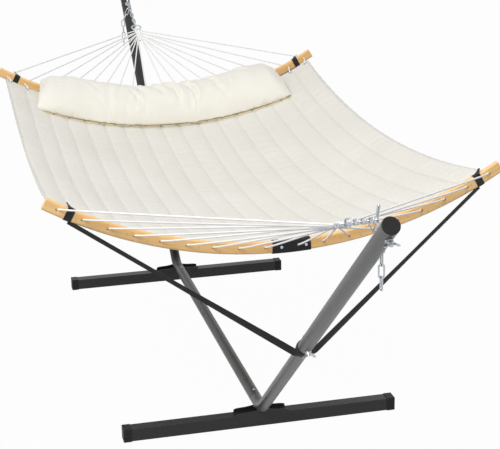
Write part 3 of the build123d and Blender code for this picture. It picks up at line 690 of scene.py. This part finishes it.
# %% Puff, puckers and hem
def puckers(share, y, channel):
    """Each channel has its own five waves across it; they are strongest beside the seams."""
    long_wave = rng.uniform(0.024, 0.075, (CHANNELS, 5))
    phase = rng.uniform(0, 2 * np.pi, (CHANNELS, 5))
    size = rng.uniform(0.4, 1.0, (CHANNELS, 5)) * long_wave / 0.05
    lean = rng.uniform(-1.6, 1.6, (CHANNELS, 5))
    wave = np.sin(2 * np.pi * y[..., None] / long_wave[channel] + phase[channel]
                  + lean[channel] * share[..., None] * np.pi)
    return (wave * size[channel]).sum(-1) / 5


share = (U + 1) / 2 * CHANNELS
channel = np.clip(np.floor(share).astype(int), 0, CHANNELS - 1)
in_channel = share - channel
puff = np.sin(np.pi * in_channel) ** 0.62
FLAT_HALF, PUFF_HALF, PUCKER_HALF, HEM_HALF = 0.0021, 0.0044, 0.0007, 0.0030    # half thicknesses
to_end = BED_HALF_Y - np.abs(flat_y)
inside = ease(to_end, HEM - 0.002, HEM + 0.026)
pucker = puckers(in_channel, flat_y, channel)
half_thick = (FLAT_HALF + PUFF_HALF * puff + PUCKER_HALF * pucker * (0.35 + puff)) * inside
half_thick += HEM_HALF * (1 - inside)
ripple = 0.0012 * pucker * (0.5 + 0.5 * puff) * inside
ripple += inside * (0.0016 * np.sin(5.1 * flat_y + 2.2 * U) * np.sin(7.0 * U + 1.3 * flat_y))
print("half thickness from", half_thick.min(), "to", half_thick.max())

# %% Close the two layers into one quilt
middle = bed_middle(bed_arc, flat_y)
normal = bed_normal(middle)
top = middle + normal * (half_thick + ripple)[..., None]
under = middle - normal * (half_thick * 0.9 - ripple)[..., None]
rows, cols = U.shape
sheet_quads, ci, cj = grid_faces(rows, cols)
edge = np.concatenate([np.arange(cols), (np.arange(1, rows)) * cols + cols - 1,
                       (rows - 1) * cols + np.arange(cols - 2, -1, -1), np.arange(rows - 2, 0, -1) * cols])
after = np.roll(edge, -1)
rim = np.stack([edge, after, after + rows * cols, edge + rows * cols], 1)
flat_uv = np.stack([flat_arc, flat_y], -1).reshape(-1, 2)
quilt = {
    "co": np.concatenate([top.reshape(-1, 3), under.reshape(-1, 3)]),
    "quads": np.concatenate([sheet_quads, sheet_quads + rows * cols, rim]),
    "quad_uv": np.concatenate([flat_uv[sheet_quads], flat_uv[sheet_quads], flat_uv[rim % (rows * cols)]]),
    "tris": np.zeros((0, 3), int), "tri_uv": np.zeros((0, 3, 2)),
}
bed = new_piece("quilted_bed_cloth", quilt, "hammock", ivory_cloth, ["quilted_bed"])


# %% [markdown]
# ### Eyelets
# A pressed steel ring in the hem for each rope, 77 mm apart. The hole in the
# cloth is bored by a boolean, and the ring is a small rounded band that hides
# its cut edge.


# %% Where the eyelets sit
EYELET_BACK, EYELET_RADIUS = 0.014, 0.0062
BORE_RADIUS, BORE_REACH = 0.0058, 0.012
EYELET_SPREAD = (BED_HALF_ARC - 0.016) / (HOLE_GAP / 2 + (ROPES_PER_SIDE - 1) * HOLE_PITCH)


def eyelet_place(arc):
    """Centre and upward normal of the eyelet that belongs to the rope at one arc."""
    at = arc * EYELET_SPREAD
    y = BED_HALF_Y - EYELET_BACK
    here = bed_middle(np.array([at, at + 1e-3, at]), np.array([y, y, y + 1e-3]))
    return here[0], unit(np.cross(here[1] - here[0], here[2] - here[0]))


def ring_about(centre, axis, radius, section, around=28):
    """A closed section carried round a circle: out from the centre, and along the axis."""
    axis = unit(axis)
    start = unit(np.cross(axis, [0.0, 1.0, 0.1]))
    other = np.cross(axis, start)
    angle = full_turn(around)[:, None]
    out = start * np.cos(angle) + other * np.sin(angle)
    path = centre + out * radius
    return carried(path, section, out, np.broadcast_to(axis, out.shape), closed=True)


def oval(half_width, half_height, points=10, power=1.0):
    """An oval section; a power under 1 squares it."""
    angle = full_turn(points)
    c, s = np.cos(angle), np.sin(angle)
    return np.stack([half_width * np.sign(c) * np.abs(c) ** power,
                     half_height * np.sign(s) * np.abs(s) ** power], -1)


places = [eyelet_place(arc) for _, _, arc in HOLES]
rings = [ring_about(c, up, EYELET_RADIUS, oval(0.0019, 0.0041, 10, 0.7), 24) for c, up in places]
rings += [turned_round(r) for r in rings]
eyelets = new_piece("hem_eyelets", joined(rings), "hammock", eyelet_metal, ["eyelets"])


# %% Bore the hem under each eyelet
def bore(centre, up):
    """A short round bar through the hem."""
    line = np.stack([centre - up * BORE_REACH, centre + up * BORE_REACH])
    return carried(line, oval(BORE_RADIUS, BORE_RADIUS, 12), *line_frame(line, np.array([0.0, 1.0, 0.1])))


bores = [bore(c, up) for c, up in places]
bores += [turned_round(b) for b in bores]
cutter = new_piece("bores", joined(bores), "hammock", ivory_cloth)
boring = bed.modifiers.new("bore", "BOOLEAN")
boring.operation, boring.solver, boring.object = "DIFFERENCE", "EXACT", cutter
bpy.context.view_layer.update()
bored = shown_mesh(bed)
bed.modifiers.clear()
bed.data = bored
bpy.data.objects.remove(cutter)
print("bored bed:", len(bored.vertices), "points")

# %% [markdown]
# ### The binding
# A folded tape runs round the whole edge and keeps the layers together. It is
# a flattened tube carried round the bed's outline.

# %% Bind the edge
outline = middle.reshape(-1, 3)[edge]
out_normal = normal.reshape(-1, 3)[edge]
ahead = unit(np.roll(outline, -1, 0) - np.roll(outline, 1, 0))
inward = unit(np.cross(out_normal, ahead))
towards_middle = np.sign(((outline.mean(0) - outline) * inward).sum(1, keepdims=True))
inward = inward * towards_middle
wobble = (1 + 0.08 * np.sin(np.arange(len(edge)) * 0.9))[:, None, None]
tape = carried(outline + inward * 0.0035, oval(0.0054, 0.0037, 12, 0.75)[None] * wobble, inward,
               out_normal, closed=True)
binding = new_piece("bed_binding", tape, "hammock", ivory_binding)

# %% [markdown]
# ## Ropes
# Nine ropes a side run from the plaited heart under the ring, through the bar,
# and on to the hem. Each is one line swept with a three-lobed section that
# turns as it goes, as laid rope does. The foot end is the head end turned.

# %% The ring, the plait and where its ropes leave
RING_CENTRE = np.array([0.0, float(sum(c.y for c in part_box("head_ring"))) / 2,
                        float(sum(c.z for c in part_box("head_ring"))) / 2])
RING_RADIUS, RING_WIRE = 0.021, 0.006
X_AXIS, Y_AXIS = np.array([1.0, 0, 0]), np.array([0, 1.0, 0])
fan_dir = unit(np.array([0.0, BAR_Y, BAR_MID_Z]) - RING_CENTRE)
fan_up = -np.cross(X_AXIS, fan_dir)
PLAIT_LENGTH, PLAIT_TOP, PLAIT_TIP = 0.088, 0.013, 0.005
plait_start = RING_CENTRE + fan_dir * (RING_RADIUS + RING_WIRE / 2 + 0.0012)
print("ring at", RING_CENTRE)


def plait_half(t):
    return PLAIT_TOP + (PLAIT_TIP - PLAIT_TOP) * t


def fan_rope(side, rank, arc):
    """From the side of the plait, straight to the bar, and level through its hole."""
    hole = bar_point(arc)
    t = 0.92 - 0.82 * rank / (ROPES_PER_SIDE - 1)
    layer = (ROPE_RADIUS + 0.00015) * (1 if rank % 2 == 0 else -1)
    start = plait_start + fan_dir * (PLAIT_LENGTH * t) + fan_up * layer
    start = start + X_AXIS * side * (plait_half(t) + ROPE_RADIUS - 0.0006)
    before, after = hole + Y_AXIS * (BAR_HALF_THICK + 0.003), hole - Y_AXIS * (BAR_HALF_THICK + 0.002)
    steps = fine_line([start, before, after], 0.0028, 2)
    return laid_rope(steps, FULL_ROPE, [0.0, 0.3, 1.0])


fan = joined([fan_rope(*hole) for hole in HOLES])
both_ends("fan_ropes", fan, "hammock", white_rope, "rope_fan")


# %% The plaited heart and its loops round the ring
def plait_strand(k, strands=7, turns=2.6):
    """A strand weaves: side to side as a sine, over and under at twice that pace."""
    t = np.linspace(0.0, 1.0, 90)
    phase = 2 * np.pi * (t * turns + k / strands)
    wide = (plait_half(t) - ROPE_RADIUS * 0.9) * np.sin(phase)
    deep = 0.0021 * np.sin(2 * phase)
    path = plait_start + fan_dir * (PLAIT_LENGTH * t[:, None])
    path = path + X_AXIS * wide[:, None] + fan_up * deep[:, None]
    return laid_rope(path, ROPE_RADIUS, fan_up + 0.01 * X_AXIS)


loops = []
for degrees in (-33.0, -11.0, 11.0, 33.0):
    turn = np.radians(degrees)
    outward = fan_dir * np.cos(turn) + X_AXIS * np.sin(turn)
    centre = RING_CENTRE + outward * RING_RADIUS
    reach = ROPE_RADIUS + RING_WIRE / 2 + 0.0002
    angle = full_turn(40)[:, None]
    path = centre + reach * (outward * np.cos(angle) + fan_up * np.sin(angle))
    loops.append(laid_rope(path, ROPE_RADIUS, np.cross(outward, fan_up), closed=True))
heart = joined([plait_strand(k) for k in range(7)] + loops)
both_ends("plait", heart, "hammock", white_rope, "clew")


# %% Lacing from the bar to the hem
def lacing_rope(side, rank, arc):
    """Out of the bar, over to the eyelet and down through it."""
    hole = bar_point(arc)
    c, up = eyelet_place(arc)
    sway = 0.0015 * np.sin(7.0 * rank + side)
    points = [hole - Y_AXIS * (BAR_HALF_THICK + 0.0022),
              hole - Y_AXIS * 0.021 - np.array([0, 0, 0.002]) + X_AXIS * sway,
              c + Y_AXIS * 0.004 + up * 0.0095, c + up * 0.0050, c - up * 0.0075]
    return laid_rope(fine_line(points, 0.0022, 3), FULL_ROPE, [1.0, 0.0, 0.1])


def end_knot(arc):
    """An overhand knot under the hem: a rope that follows a trefoil."""
    c, up = eyelet_place(arc)
    t = full_turn(44)
    flat = np.stack([np.sin(t) + 2 * np.sin(2 * t), np.cos(t) - 2 * np.cos(2 * t), -np.sin(3 * t)], -1)
    path = c - up * 0.0088 + flat * np.array([0.0013, 0.0013, 0.0016])
    return laid_rope(path, 0.0016, [0.13, 0.21, 1.0], around=7, closed=True)


laces = joined([lacing_rope(*hole) for hole in HOLES] + [end_knot(arc) for _, _, arc in HOLES])
both_ends("lacing_ropes", laces, "hammock", white_rope, "lacing")

# %% [markdown]
# ## The pillow
# A long bolster filled with fibre. Its front edge bows back in the middle and
# its far edge rides up over the lacing. A pressure simulation rounds it as real
# filling does: the cloth starts a little small, swells, and stays flat only
# where it lies on the bed. The creases and the piping come afterwards.

# %% The pillow's slack shape
PILLOW_Y, PILLOW_DEEP, PILLOW_HIGH = 0.850, 0.270, 0.135
PILLOW_BOW, PILLOW_FAR_LIFT = 0.046, 0.030
BOW_MIDDLE, BOW_FALL = 0.58, 0.42           # the bow is full at the front and fades behind
PILLOW_SLACK, PILLOW_REST = 0.93, 0.0085            # size before filling; height over the bed's middle
FRONT_SEAM, BACK_SEAM = 0.05, 0.16                  # seam heights as shares of the pillow's
FOLD_DIP, FOLD_AT, FOLD_WIDTH = 0.05, -0.22, 0.2
PILLOW_SHIFT, PILLOW_SHOWN_HALF = -0.016, 0.526
STATIONS = np.array([-1.0, -0.93, -0.75, -0.35, 0.0, 0.35, 0.75, 0.93, 1.0])
SCALES = np.array([0.30, 0.68, 0.90, 1.04, 1.08, 1.06, 1.02, 0.82, 0.40])


def pillow_scale(a):
    """Fullness at a share of the length: rounds in at both ends, and dips where it folds."""
    return np.interp(a, STATIONS, SCALES) - FOLD_DIP * np.exp(-((a - FOLD_AT) / FOLD_WIDTH) ** 2)


def pillow_surface(a, turn, slack=1.0):
    """One turn round the pillow at each place along it: below half a turn the underside,
    above it the crowned top. The far edge rides up over the lacing."""
    scale = pillow_scale(a)
    arc = PILLOW_SHIFT + PILLOW_SHOWN_HALF * a
    t = -np.cos(turn)
    half = PILLOW_DEEP / 2 * (0.86 + 0.14 * scale) * slack
    bow = 1 - a * a
    y = PILLOW_Y + PILLOW_BOW * bow * (BOW_MIDDLE - BOW_FALL * t) + half * t
    v = y / BED_HALF_Y
    shape = np.clip(1 - np.abs(t) ** 2.6, 0, 1)
    ride_up = PILLOW_FAR_LIFT * np.maximum(0, t) ** 2
    rest = PILLOW_REST - BED_DROP - bed_sag(arc) * (1 - v * v) + ride_up
    seam = np.where(t < 0, FRONT_SEAM, BACK_SEAM)
    low = rest + PILLOW_HIGH * scale * seam * (1 - shape)
    high = rest + PILLOW_HIGH * scale * slack * (seam + (1 - seam) * shape ** 0.8)
    up = np.where(np.sin(turn) < 0, low, high)
    phi = arc / BAR_RADIUS
    r = BAR_RADIUS - up
    return np.stack([r * np.sin(phi), y, BAR_MID_Z + BAR_RADIUS - r * np.cos(phi)], -1)


A, T = np.meshgrid(np.linspace(-1, 1, 121), full_turn(64), indexing="ij")
slack_co = pillow_surface(A, T, PILLOW_SLACK)
pr, pc = A.shape
quads, ci, cj = grid_faces(pr, pc, round_cols=True)
caps = [slack_co[0].mean(0), slack_co[-1].mean(0)]
slack = {"co": np.concatenate([slack_co.reshape(-1, 3), np.array(caps)]), "quads": quads,
         "quad_uv": np.stack([cj / pc, ci / pr], -1), "tris": end_fans(pr, pc),
         "tri_uv": np.zeros((2 * pc, 3, 2))}
pillow = new_piece("pillow_cushion", slack, "hammock", pillow_cloth, ["pillow"])


# %% Fill the pillow
FILL_FRAMES, FILL_VOXEL = 20, 0.0068


def points_of(mesh):
    co = np.zeros(len(mesh.vertices) * 3, np.float32)
    mesh.vertices.foreach_get("co", co)
    return co.reshape(-1, 3).astype(float)


def seam_weights(co):
    """1 at the front and back seams, fading to 0 within 16 mm."""
    arc = arc_at(co[:, 0])
    a = np.clip((arc - PILLOW_SHIFT) / PILLOW_SHOWN_HALF, -1, 1)
    front = pillow_surface(a, np.zeros_like(a), PILLOW_SLACK)
    back = pillow_surface(a, np.full_like(a, np.pi), PILLOW_SLACK)
    near = np.minimum(np.linalg.norm(co - front, axis=1), np.linalg.norm(co - back, axis=1))
    return 1 - ease(near, 0.004, 0.016)


def fill_pillow(piece, cap=0.024):
    """Voxel remesh, blow it up for FILL_FRAMES frames, and keep each point within `cap` of its start."""
    work = piece.copy()
    work.data = piece.data.copy()
    work.parent = None
    work.matrix_world = Matrix.Identity(4)
    bpy.context.collection.objects.link(work)
    remesh = work.modifiers.new("even", "REMESH")
    remesh.mode, remesh.voxel_size = "VOXEL", FILL_VOXEL
    bpy.context.view_layer.update()
    even = shown_mesh(work)
    work.modifiers.clear()
    work.data = even
    before = points_of(even)
    group = work.vertex_groups.new(name="seams")
    weights = seam_weights(before)
    for level in (0.25, 0.5, 0.75, 1.0):
        group.add(np.nonzero(weights >= level - 0.01)[0].tolist(), level, "REPLACE")
    cloth = work.modifiers.new("filling", "CLOTH")
    settings = cloth.settings
    settings.quality = 5
    settings.mass = 0.25
    settings.use_pressure, settings.uniform_pressure_force = True, 4.0
    settings.tension_stiffness = settings.compression_stiffness = 12.0
    settings.bending_stiffness = 0.4
    settings.effector_weights.gravity = 0.0
    settings.vertex_group_mass = "seams"
    settings.pin_stiffness = 1.0
    cloth.point_cache.frame_start, cloth.point_cache.frame_end = 1, FILL_FRAMES
    for step in range(1, FILL_FRAMES + 1):
        bpy.context.scene.frame_set(step)
    after = points_of(shown_mesh(work))
    bpy.context.scene.frame_set(1)
    move = after - before
    length = np.linalg.norm(move, axis=1, keepdims=True)
    after = before + move * np.minimum(1, cap / np.maximum(length, 1e-9))
    work.modifiers.clear()
    filled = work.data.copy()
    filled.vertices.foreach_set("co", after.astype(np.float32).ravel())
    bpy.data.objects.remove(work)
    return filled, float(length.max())


filled, furthest = fill_pillow(pillow)
pillow.data = filled
print("pillow filled:", len(filled.vertices), "points, moved up to", round(furthest, 4))

# %% [markdown]
# ### Creases
# Where the bolster bends over the hollow of the bed its top wrinkles. Each
# crease is a groove with a soft ridge beside it, drawn along a short line and
# pressed in along the normals.

# %% Press in the creases and rest the pillow on the bed
refine = pillow.modifiers.new("fine", "SUBSURF")
refine.levels = refine.render_levels = 1
bpy.context.view_layer.update()
fine_mesh = shown_mesh(pillow)
pillow.modifiers.clear()
pillow.data = fine_mesh
co = points_of(fine_mesh)
normals = np.zeros(len(co) * 3, np.float32)
fine_mesh.vertex_normals.foreach_get("vector", normals)
normals = normals.reshape(-1, 3).astype(float)
main_creases = np.array([
    # x, y of the start, x, y of the end, depth, width
    [-0.06, 0.94, -0.02, 0.81, 0.0085, 0.0100],
    [-0.02, 0.95, 0.05, 0.79, 0.0110, 0.0110],
    [0.06, 0.94, 0.12, 0.78, 0.0100, 0.0100],
    [-0.12, 0.93, -0.10, 0.83, 0.0055, 0.0120],
    [0.15, 0.95, 0.21, 0.81, 0.0070, 0.0100],
    [0.27, 0.94, 0.34, 0.85, 0.0060, 0.0100],
    [0.20, 0.82, 0.27, 0.77, 0.0050, 0.0080],
])
start_x = rng.uniform(-0.52, 0.52, 22)
small_creases = np.stack([start_x, rng.uniform(0.77, 0.93, 22), start_x + rng.uniform(-0.06, 0.06, 22),
                          rng.uniform(0.75, 0.95, 22), rng.uniform(0.0012, 0.0035, 22),
                          rng.uniform(0.006, 0.014, 22)], 1)
press = np.zeros(len(co))
for x0, y0, x1, y1, depth, width in np.concatenate([main_creases, small_creases]):
    line = np.array([x1 - x0, y1 - y0])
    length = np.hypot(*line)
    line = line / length
    rel = co[:, :2] - [x0, y0]
    run = rel @ line
    off = rel @ np.array([-line[1], line[0]]) + 0.006 * np.sin(run * 40)
    fade = ease(run, -0.02, 0.03) * (1 - ease(run, length - 0.03, length + 0.02))
    press += depth * fade * (0.55 * np.exp(-((off - 1.9 * width) / width) ** 2) - np.exp(-(off / width) ** 2))
co = co + normals * (press * ease(normals[:, 2], 0.0, 0.4))[:, None]
pillow_arc = arc_at(co[:, 0])
ABOVE_BED, ABOVE_BAR = 0.0078, 0.0035
BAR_FROM, BAR_TO = 0.945, 1.06      # where the bar, not the bed, is under the pillow
on_bed = bed_middle(pillow_arc / (1 - DRAW_IN * (1 - (co[:, 1] / BED_HALF_Y) ** 2)), co[:, 1])[:, 2]
floor_z = np.where(co[:, 1] < BED_HALF_Y, on_bed, -1.0) + ABOVE_BED
over_bar = bar_point(pillow_arc)[:, 2] + BAR_HALF_HEIGHT + ABOVE_BAR
floor_z = np.where((co[:, 1] > BAR_FROM) & (co[:, 1] < BAR_TO), over_bar, floor_z)
co[:, 2] = np.maximum(co[:, 2], floor_z)
fine_mesh.vertices.foreach_set("co", co.astype(np.float32).ravel())
fine_mesh.polygons.foreach_set("use_smooth", np.ones(len(fine_mesh.polygons), bool))
fine_mesh.update()
if not fine_mesh.materials:
    fine_mesh.materials.append(pillow_cloth)
print("pillow:", len(co), "points, top at", round(co[:, 2].max(), 4))

# %% [markdown]
# ### Piping
# A tan cord is sewn into the pillow's front seam. Every 64 mm a short darker
# tie holds it to the bed.

# %% Sew in the piping and its ties
PIPING_RADIUS, PIPING_TO = 0.0017, 0.985     # it stops just short of the pillow's ends
seam_a = np.linspace(-PIPING_TO, PIPING_TO, 420)
seam_line = pillow_surface(seam_a, np.zeros_like(seam_a), 0.95)
seam_line = seam_line + np.array([0.0, -0.0022, 0.0004])
seam_side, seam_lift = line_frame(seam_line, np.array([0.0, 0.0, 1.0]))
piping = carried(seam_line, oval(PIPING_RADIUS, PIPING_RADIUS, 10), seam_side, seam_lift)
new_piece("pillow_piping", piping, "hammock", tan_cord)

# %% [markdown]
# ## Black webbing
# Two straps steady each bar. Each strap is wrapped round the bar, runs down to
# the arm and loops it just below the joint. Under load flat webbing curls, so
# its section is a shallow gutter in the middle of the run and flat at its ends.
# A run hangs from the bar and is held at the arm, so it is given to neither
# body.

# %% Wraps round the bar
WEBBING_THICK, WRAP_HALF_WIDTH = 0.0016, 0.0112
STRAP_ARC = 0.624
WRAP_CLEAR, WRAP_SQUARENESS = 0.0011, 0.5
TAB_STEPS = 12


def bar_wrap(side):
    """A square-cornered oval round the bar, with a webbing section across it."""
    arc = side * STRAP_ARC
    centre, up, across = bar_point(arc), bar_up(arc), bar_along(arc)
    out = oval(BAR_HALF_THICK + WRAP_CLEAR, BAR_HALF_HEIGHT + WRAP_CLEAR, 64, WRAP_SQUARENESS)
    path = centre + out[:, :1] * Y_AXIS + out[:, 1:] * up
    ahead = unit(np.roll(path, -1, 0) - np.roll(path, 1, 0))
    face = np.cross(ahead, across)
    section = oval(WRAP_HALF_WIDTH, WEBBING_THICK / 2, 14, 0.35)
    return carried(path, section, np.broadcast_to(across, path.shape), face, closed=True)


def loose_tab(side):
    """The wrap's cut end, standing off the top of the bar and leaning outwards."""
    arc = side * STRAP_ARC
    up, across = bar_up(arc), bar_along(arc)
    start = bar_point(arc) + up * (BAR_HALF_HEIGHT + 0.0024) + Y_AXIS * 0.006
    t = np.linspace(0, 1, TAB_STEPS)[:, None]
    path = start - Y_AXIS * 0.010 * t + up * (0.0075 * t ** 2) + across * side * 0.019 * t
    ahead = unit(np.gradient(path, axis=0))
    wide = unit(np.cross(up, ahead))
    taper = np.linspace(1.0, 0.35, TAB_STEPS)[:, None, None]
    section = oval(0.0095, WEBBING_THICK / 2, 14, 0.35)[None] * np.concatenate(
        [taper, np.ones_like(taper)], -1)
    return carried(path, section, wide, np.cross(wide, ahead))


wraps = joined([bar_wrap(-1), bar_wrap(1), loose_tab(-1), loose_tab(1)])
both_ends("bar_webbing", wraps, "hammock", black_webbing, "strap_bar_wraps")

# %% Strap runs and the loops round the arm
ARM_ANGLE = np.radians(39.1)
ARM_VERTEX = np.array([0.0, 0.735, 0.061])
ARM_DIR = np.array([0.0, np.cos(ARM_ANGLE), np.sin(ARM_ANGLE)])
ARM_IN = np.array([0.0, -np.sin(ARM_ANGLE), np.cos(ARM_ANGLE)])
LOOP_AT = ARM_VERTEX + ARM_DIR * 0.646
LOWER_ARM_RADIUS = 0.019
RUN_END_OUT, RUN_END_UP = 0.0248, 0.002             # a run's end: out from the arm's axis, and up it
RUN_HALF, RUN_GAIN, RUN_GUTTER = 0.0064, 0.0042, 0.0014


def strap_run(side):
    """From under the bar to the arm. It stands on edge, widens on the way and turns along the
    arm only where it meets it. Its gutter is deepest half way."""
    arc = side * STRAP_ARC
    start = bar_point(arc) - bar_up(arc) * (BAR_HALF_HEIGHT + 0.003) - bar_along(arc) * (side * 0.006)
    line = unit(LOOP_AT - start)
    radial = unit(np.cross(line, ARM_DIR))
    radial = radial if radial @ ARM_IN < 0 else -radial
    end = LOOP_AT + ARM_DIR * RUN_END_UP + radial * RUN_END_OUT
    line = unit(end - start)
    t = np.linspace(0, 1, 200)
    upright = np.array([0.0, 0.0, 1.0])
    first = unit(upright - line * (upright @ line))
    last = unit(ARM_DIR - line * (ARM_DIR @ line))
    turning = ease(t, 0.968, 1.0)[:, None]
    wide = unit(first * (1 - turning) + last * turning)
    path = start + (end - start) * t[:, None]
    middle_share = ease(t, 0.0, 0.10) * (1 - ease(t, 0.90, 1.0))
    half = RUN_HALF + RUN_GAIN * ease(t, 0.35, 0.97)
    around = np.linspace(-1, 1, 9)
    rise = RUN_GUTTER * middle_share[:, None] * (1 - around[None] ** 2)
    upper = np.stack([half[:, None] * around[None], rise + WEBBING_THICK / 2], -1)
    lower = np.stack([half[:, None] * around[None], rise - WEBBING_THICK / 2], -1)[:, ::-1]
    return carried(path, np.concatenate([upper, lower], 1), wide, np.cross(wide, line))


runs = joined([strap_run(-1), strap_run(1)])
both_runs = both_ends("strap_webbing", runs, None, black_webbing, "strap_runs")
for straps, facing in zip(both_runs, (1.0, -1.0)):
    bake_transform(straps)
loop_section = oval(0.0015, 0.0062, 14, 0.35)
arm_loops = joined([
    ring_about(LOOP_AT + ARM_DIR * shift, ARM_DIR + tilt * X_AXIS, LOWER_ARM_RADIUS + proud, loop_section, 48)
    for shift, tilt, proud in ((-0.0072, 0.03, 0.0021), (0.0062, -0.02, 0.0032))])
both_ends("arm_webbing", arm_loops, "stand", black_webbing, "strap_arm_loop")

# %% [markdown]
# ## What is soft
# The bed is a stretched sheet: its flat cut is 1.344 m wide and 1.93 m long.
# The pillow is padded.

print("bed and pillow are soft")

# %% [markdown]
# ## Floor and light
# A pale floor that takes a soft shadow, a white surround, and one wide lamp
# high on the left. The floor shows itself brighter to the camera and to gloss
# than it is as a lamp, so it stays white without lighting the bed from below.

# %% Floor, surround and lamp
FLOOR_HALF, FLOOR_Z = 60.0, -0.001
LAMP_AT, LAMP_AIM = (-1.9, -2.5, 4.2), (0.0, 0.0, 0.5)
floor_mesh = bpy.data.meshes.new("studio_floor")
floor_mesh.from_pydata([(x * FLOOR_HALF, y * FLOOR_HALF, FLOOR_Z)
                        for x, y in ((-1, -1), (1, -1), (1, 1), (-1, 1))], [], [(0, 1, 2, 3)])
floor = bpy.data.objects.new("studio_floor", floor_mesh)
bpy.context.collection.objects.link(floor)
floor_material = bpy.data.materials.new("studio_white")
floor_material.use_nodes = True
nodes, links = floor_material.node_tree.nodes, floor_material.node_tree.links
nodes.clear()


def seen_directly(nodes, links):
    """1 for rays from the camera, a mirror or glass; 0 for light that only bounces."""
    path = nodes.new("ShaderNodeLightPath")
    seen = path.outputs["Is Camera Ray"]
    for kind in ("Is Glossy Ray", "Is Transmission Ray"):
        either = nodes.new("ShaderNodeMath")
        either.operation = "MAXIMUM"
        links.new(seen, either.inputs[0])
        links.new(path.outputs[kind], either.inputs[1])
        seen = either.outputs[0]
    return seen


diffuse = nodes.new("ShaderNodeBsdfDiffuse")
diffuse.inputs["Color"].default_value = (0.42, 0.42, 0.42, 1.0)
glow = nodes.new("ShaderNodeEmission")
glow.inputs["Strength"].default_value = 1.0
blend = nodes.new("ShaderNodeMixShader")
share_node = nodes.new("ShaderNodeMath")
share_node.operation = "MULTIPLY"
share_node.inputs[1].default_value = 0.975
links.new(seen_directly(nodes, links), share_node.inputs[0])
links.new(share_node.outputs[0], blend.inputs[0])
links.new(diffuse.outputs[0], blend.inputs[1])
links.new(glow.outputs[0], blend.inputs[2])
output = nodes.new("ShaderNodeOutputMaterial")
links.new(blend.outputs[0], output.inputs[0])
floor_mesh.materials.append(floor_material)

world = bpy.data.worlds.new("studio_surround")
world.use_nodes = True
bpy.context.scene.world = world
nodes, links = world.node_tree.nodes, world.node_tree.links
background = nodes["Background"]
background.inputs["Color"].default_value = (1.0, 1.0, 1.0, 1.0)
strength = nodes.new("ShaderNodeMapRange")
strength.inputs["To Min"].default_value = 0.59
strength.inputs["To Max"].default_value = 1.0
links.new(seen_directly(nodes, links), strength.inputs["Value"])
links.new(strength.outputs[0], background.inputs["Strength"])

lamp_data = bpy.data.lights.new("softbox", "AREA")
lamp_data.shape, lamp_data.size, lamp_data.size_y = "RECTANGLE", 3.0, 3.0
lamp_data.energy = 140.0
lamp = bpy.data.objects.new("softbox", lamp_data)
lamp.location = LAMP_AT
bpy.context.collection.objects.link(lamp)
back = unit(np.array(lamp.location) - np.array(LAMP_AIM))
right = unit(np.cross([0.0, 0.0, 1.0], back))
lamp.matrix_world = placed(np.column_stack([right, np.cross(back, right), back]), np.array(lamp.location))
bpy.context.scene.view_settings.view_transform = "Standard"
print("studio ready")
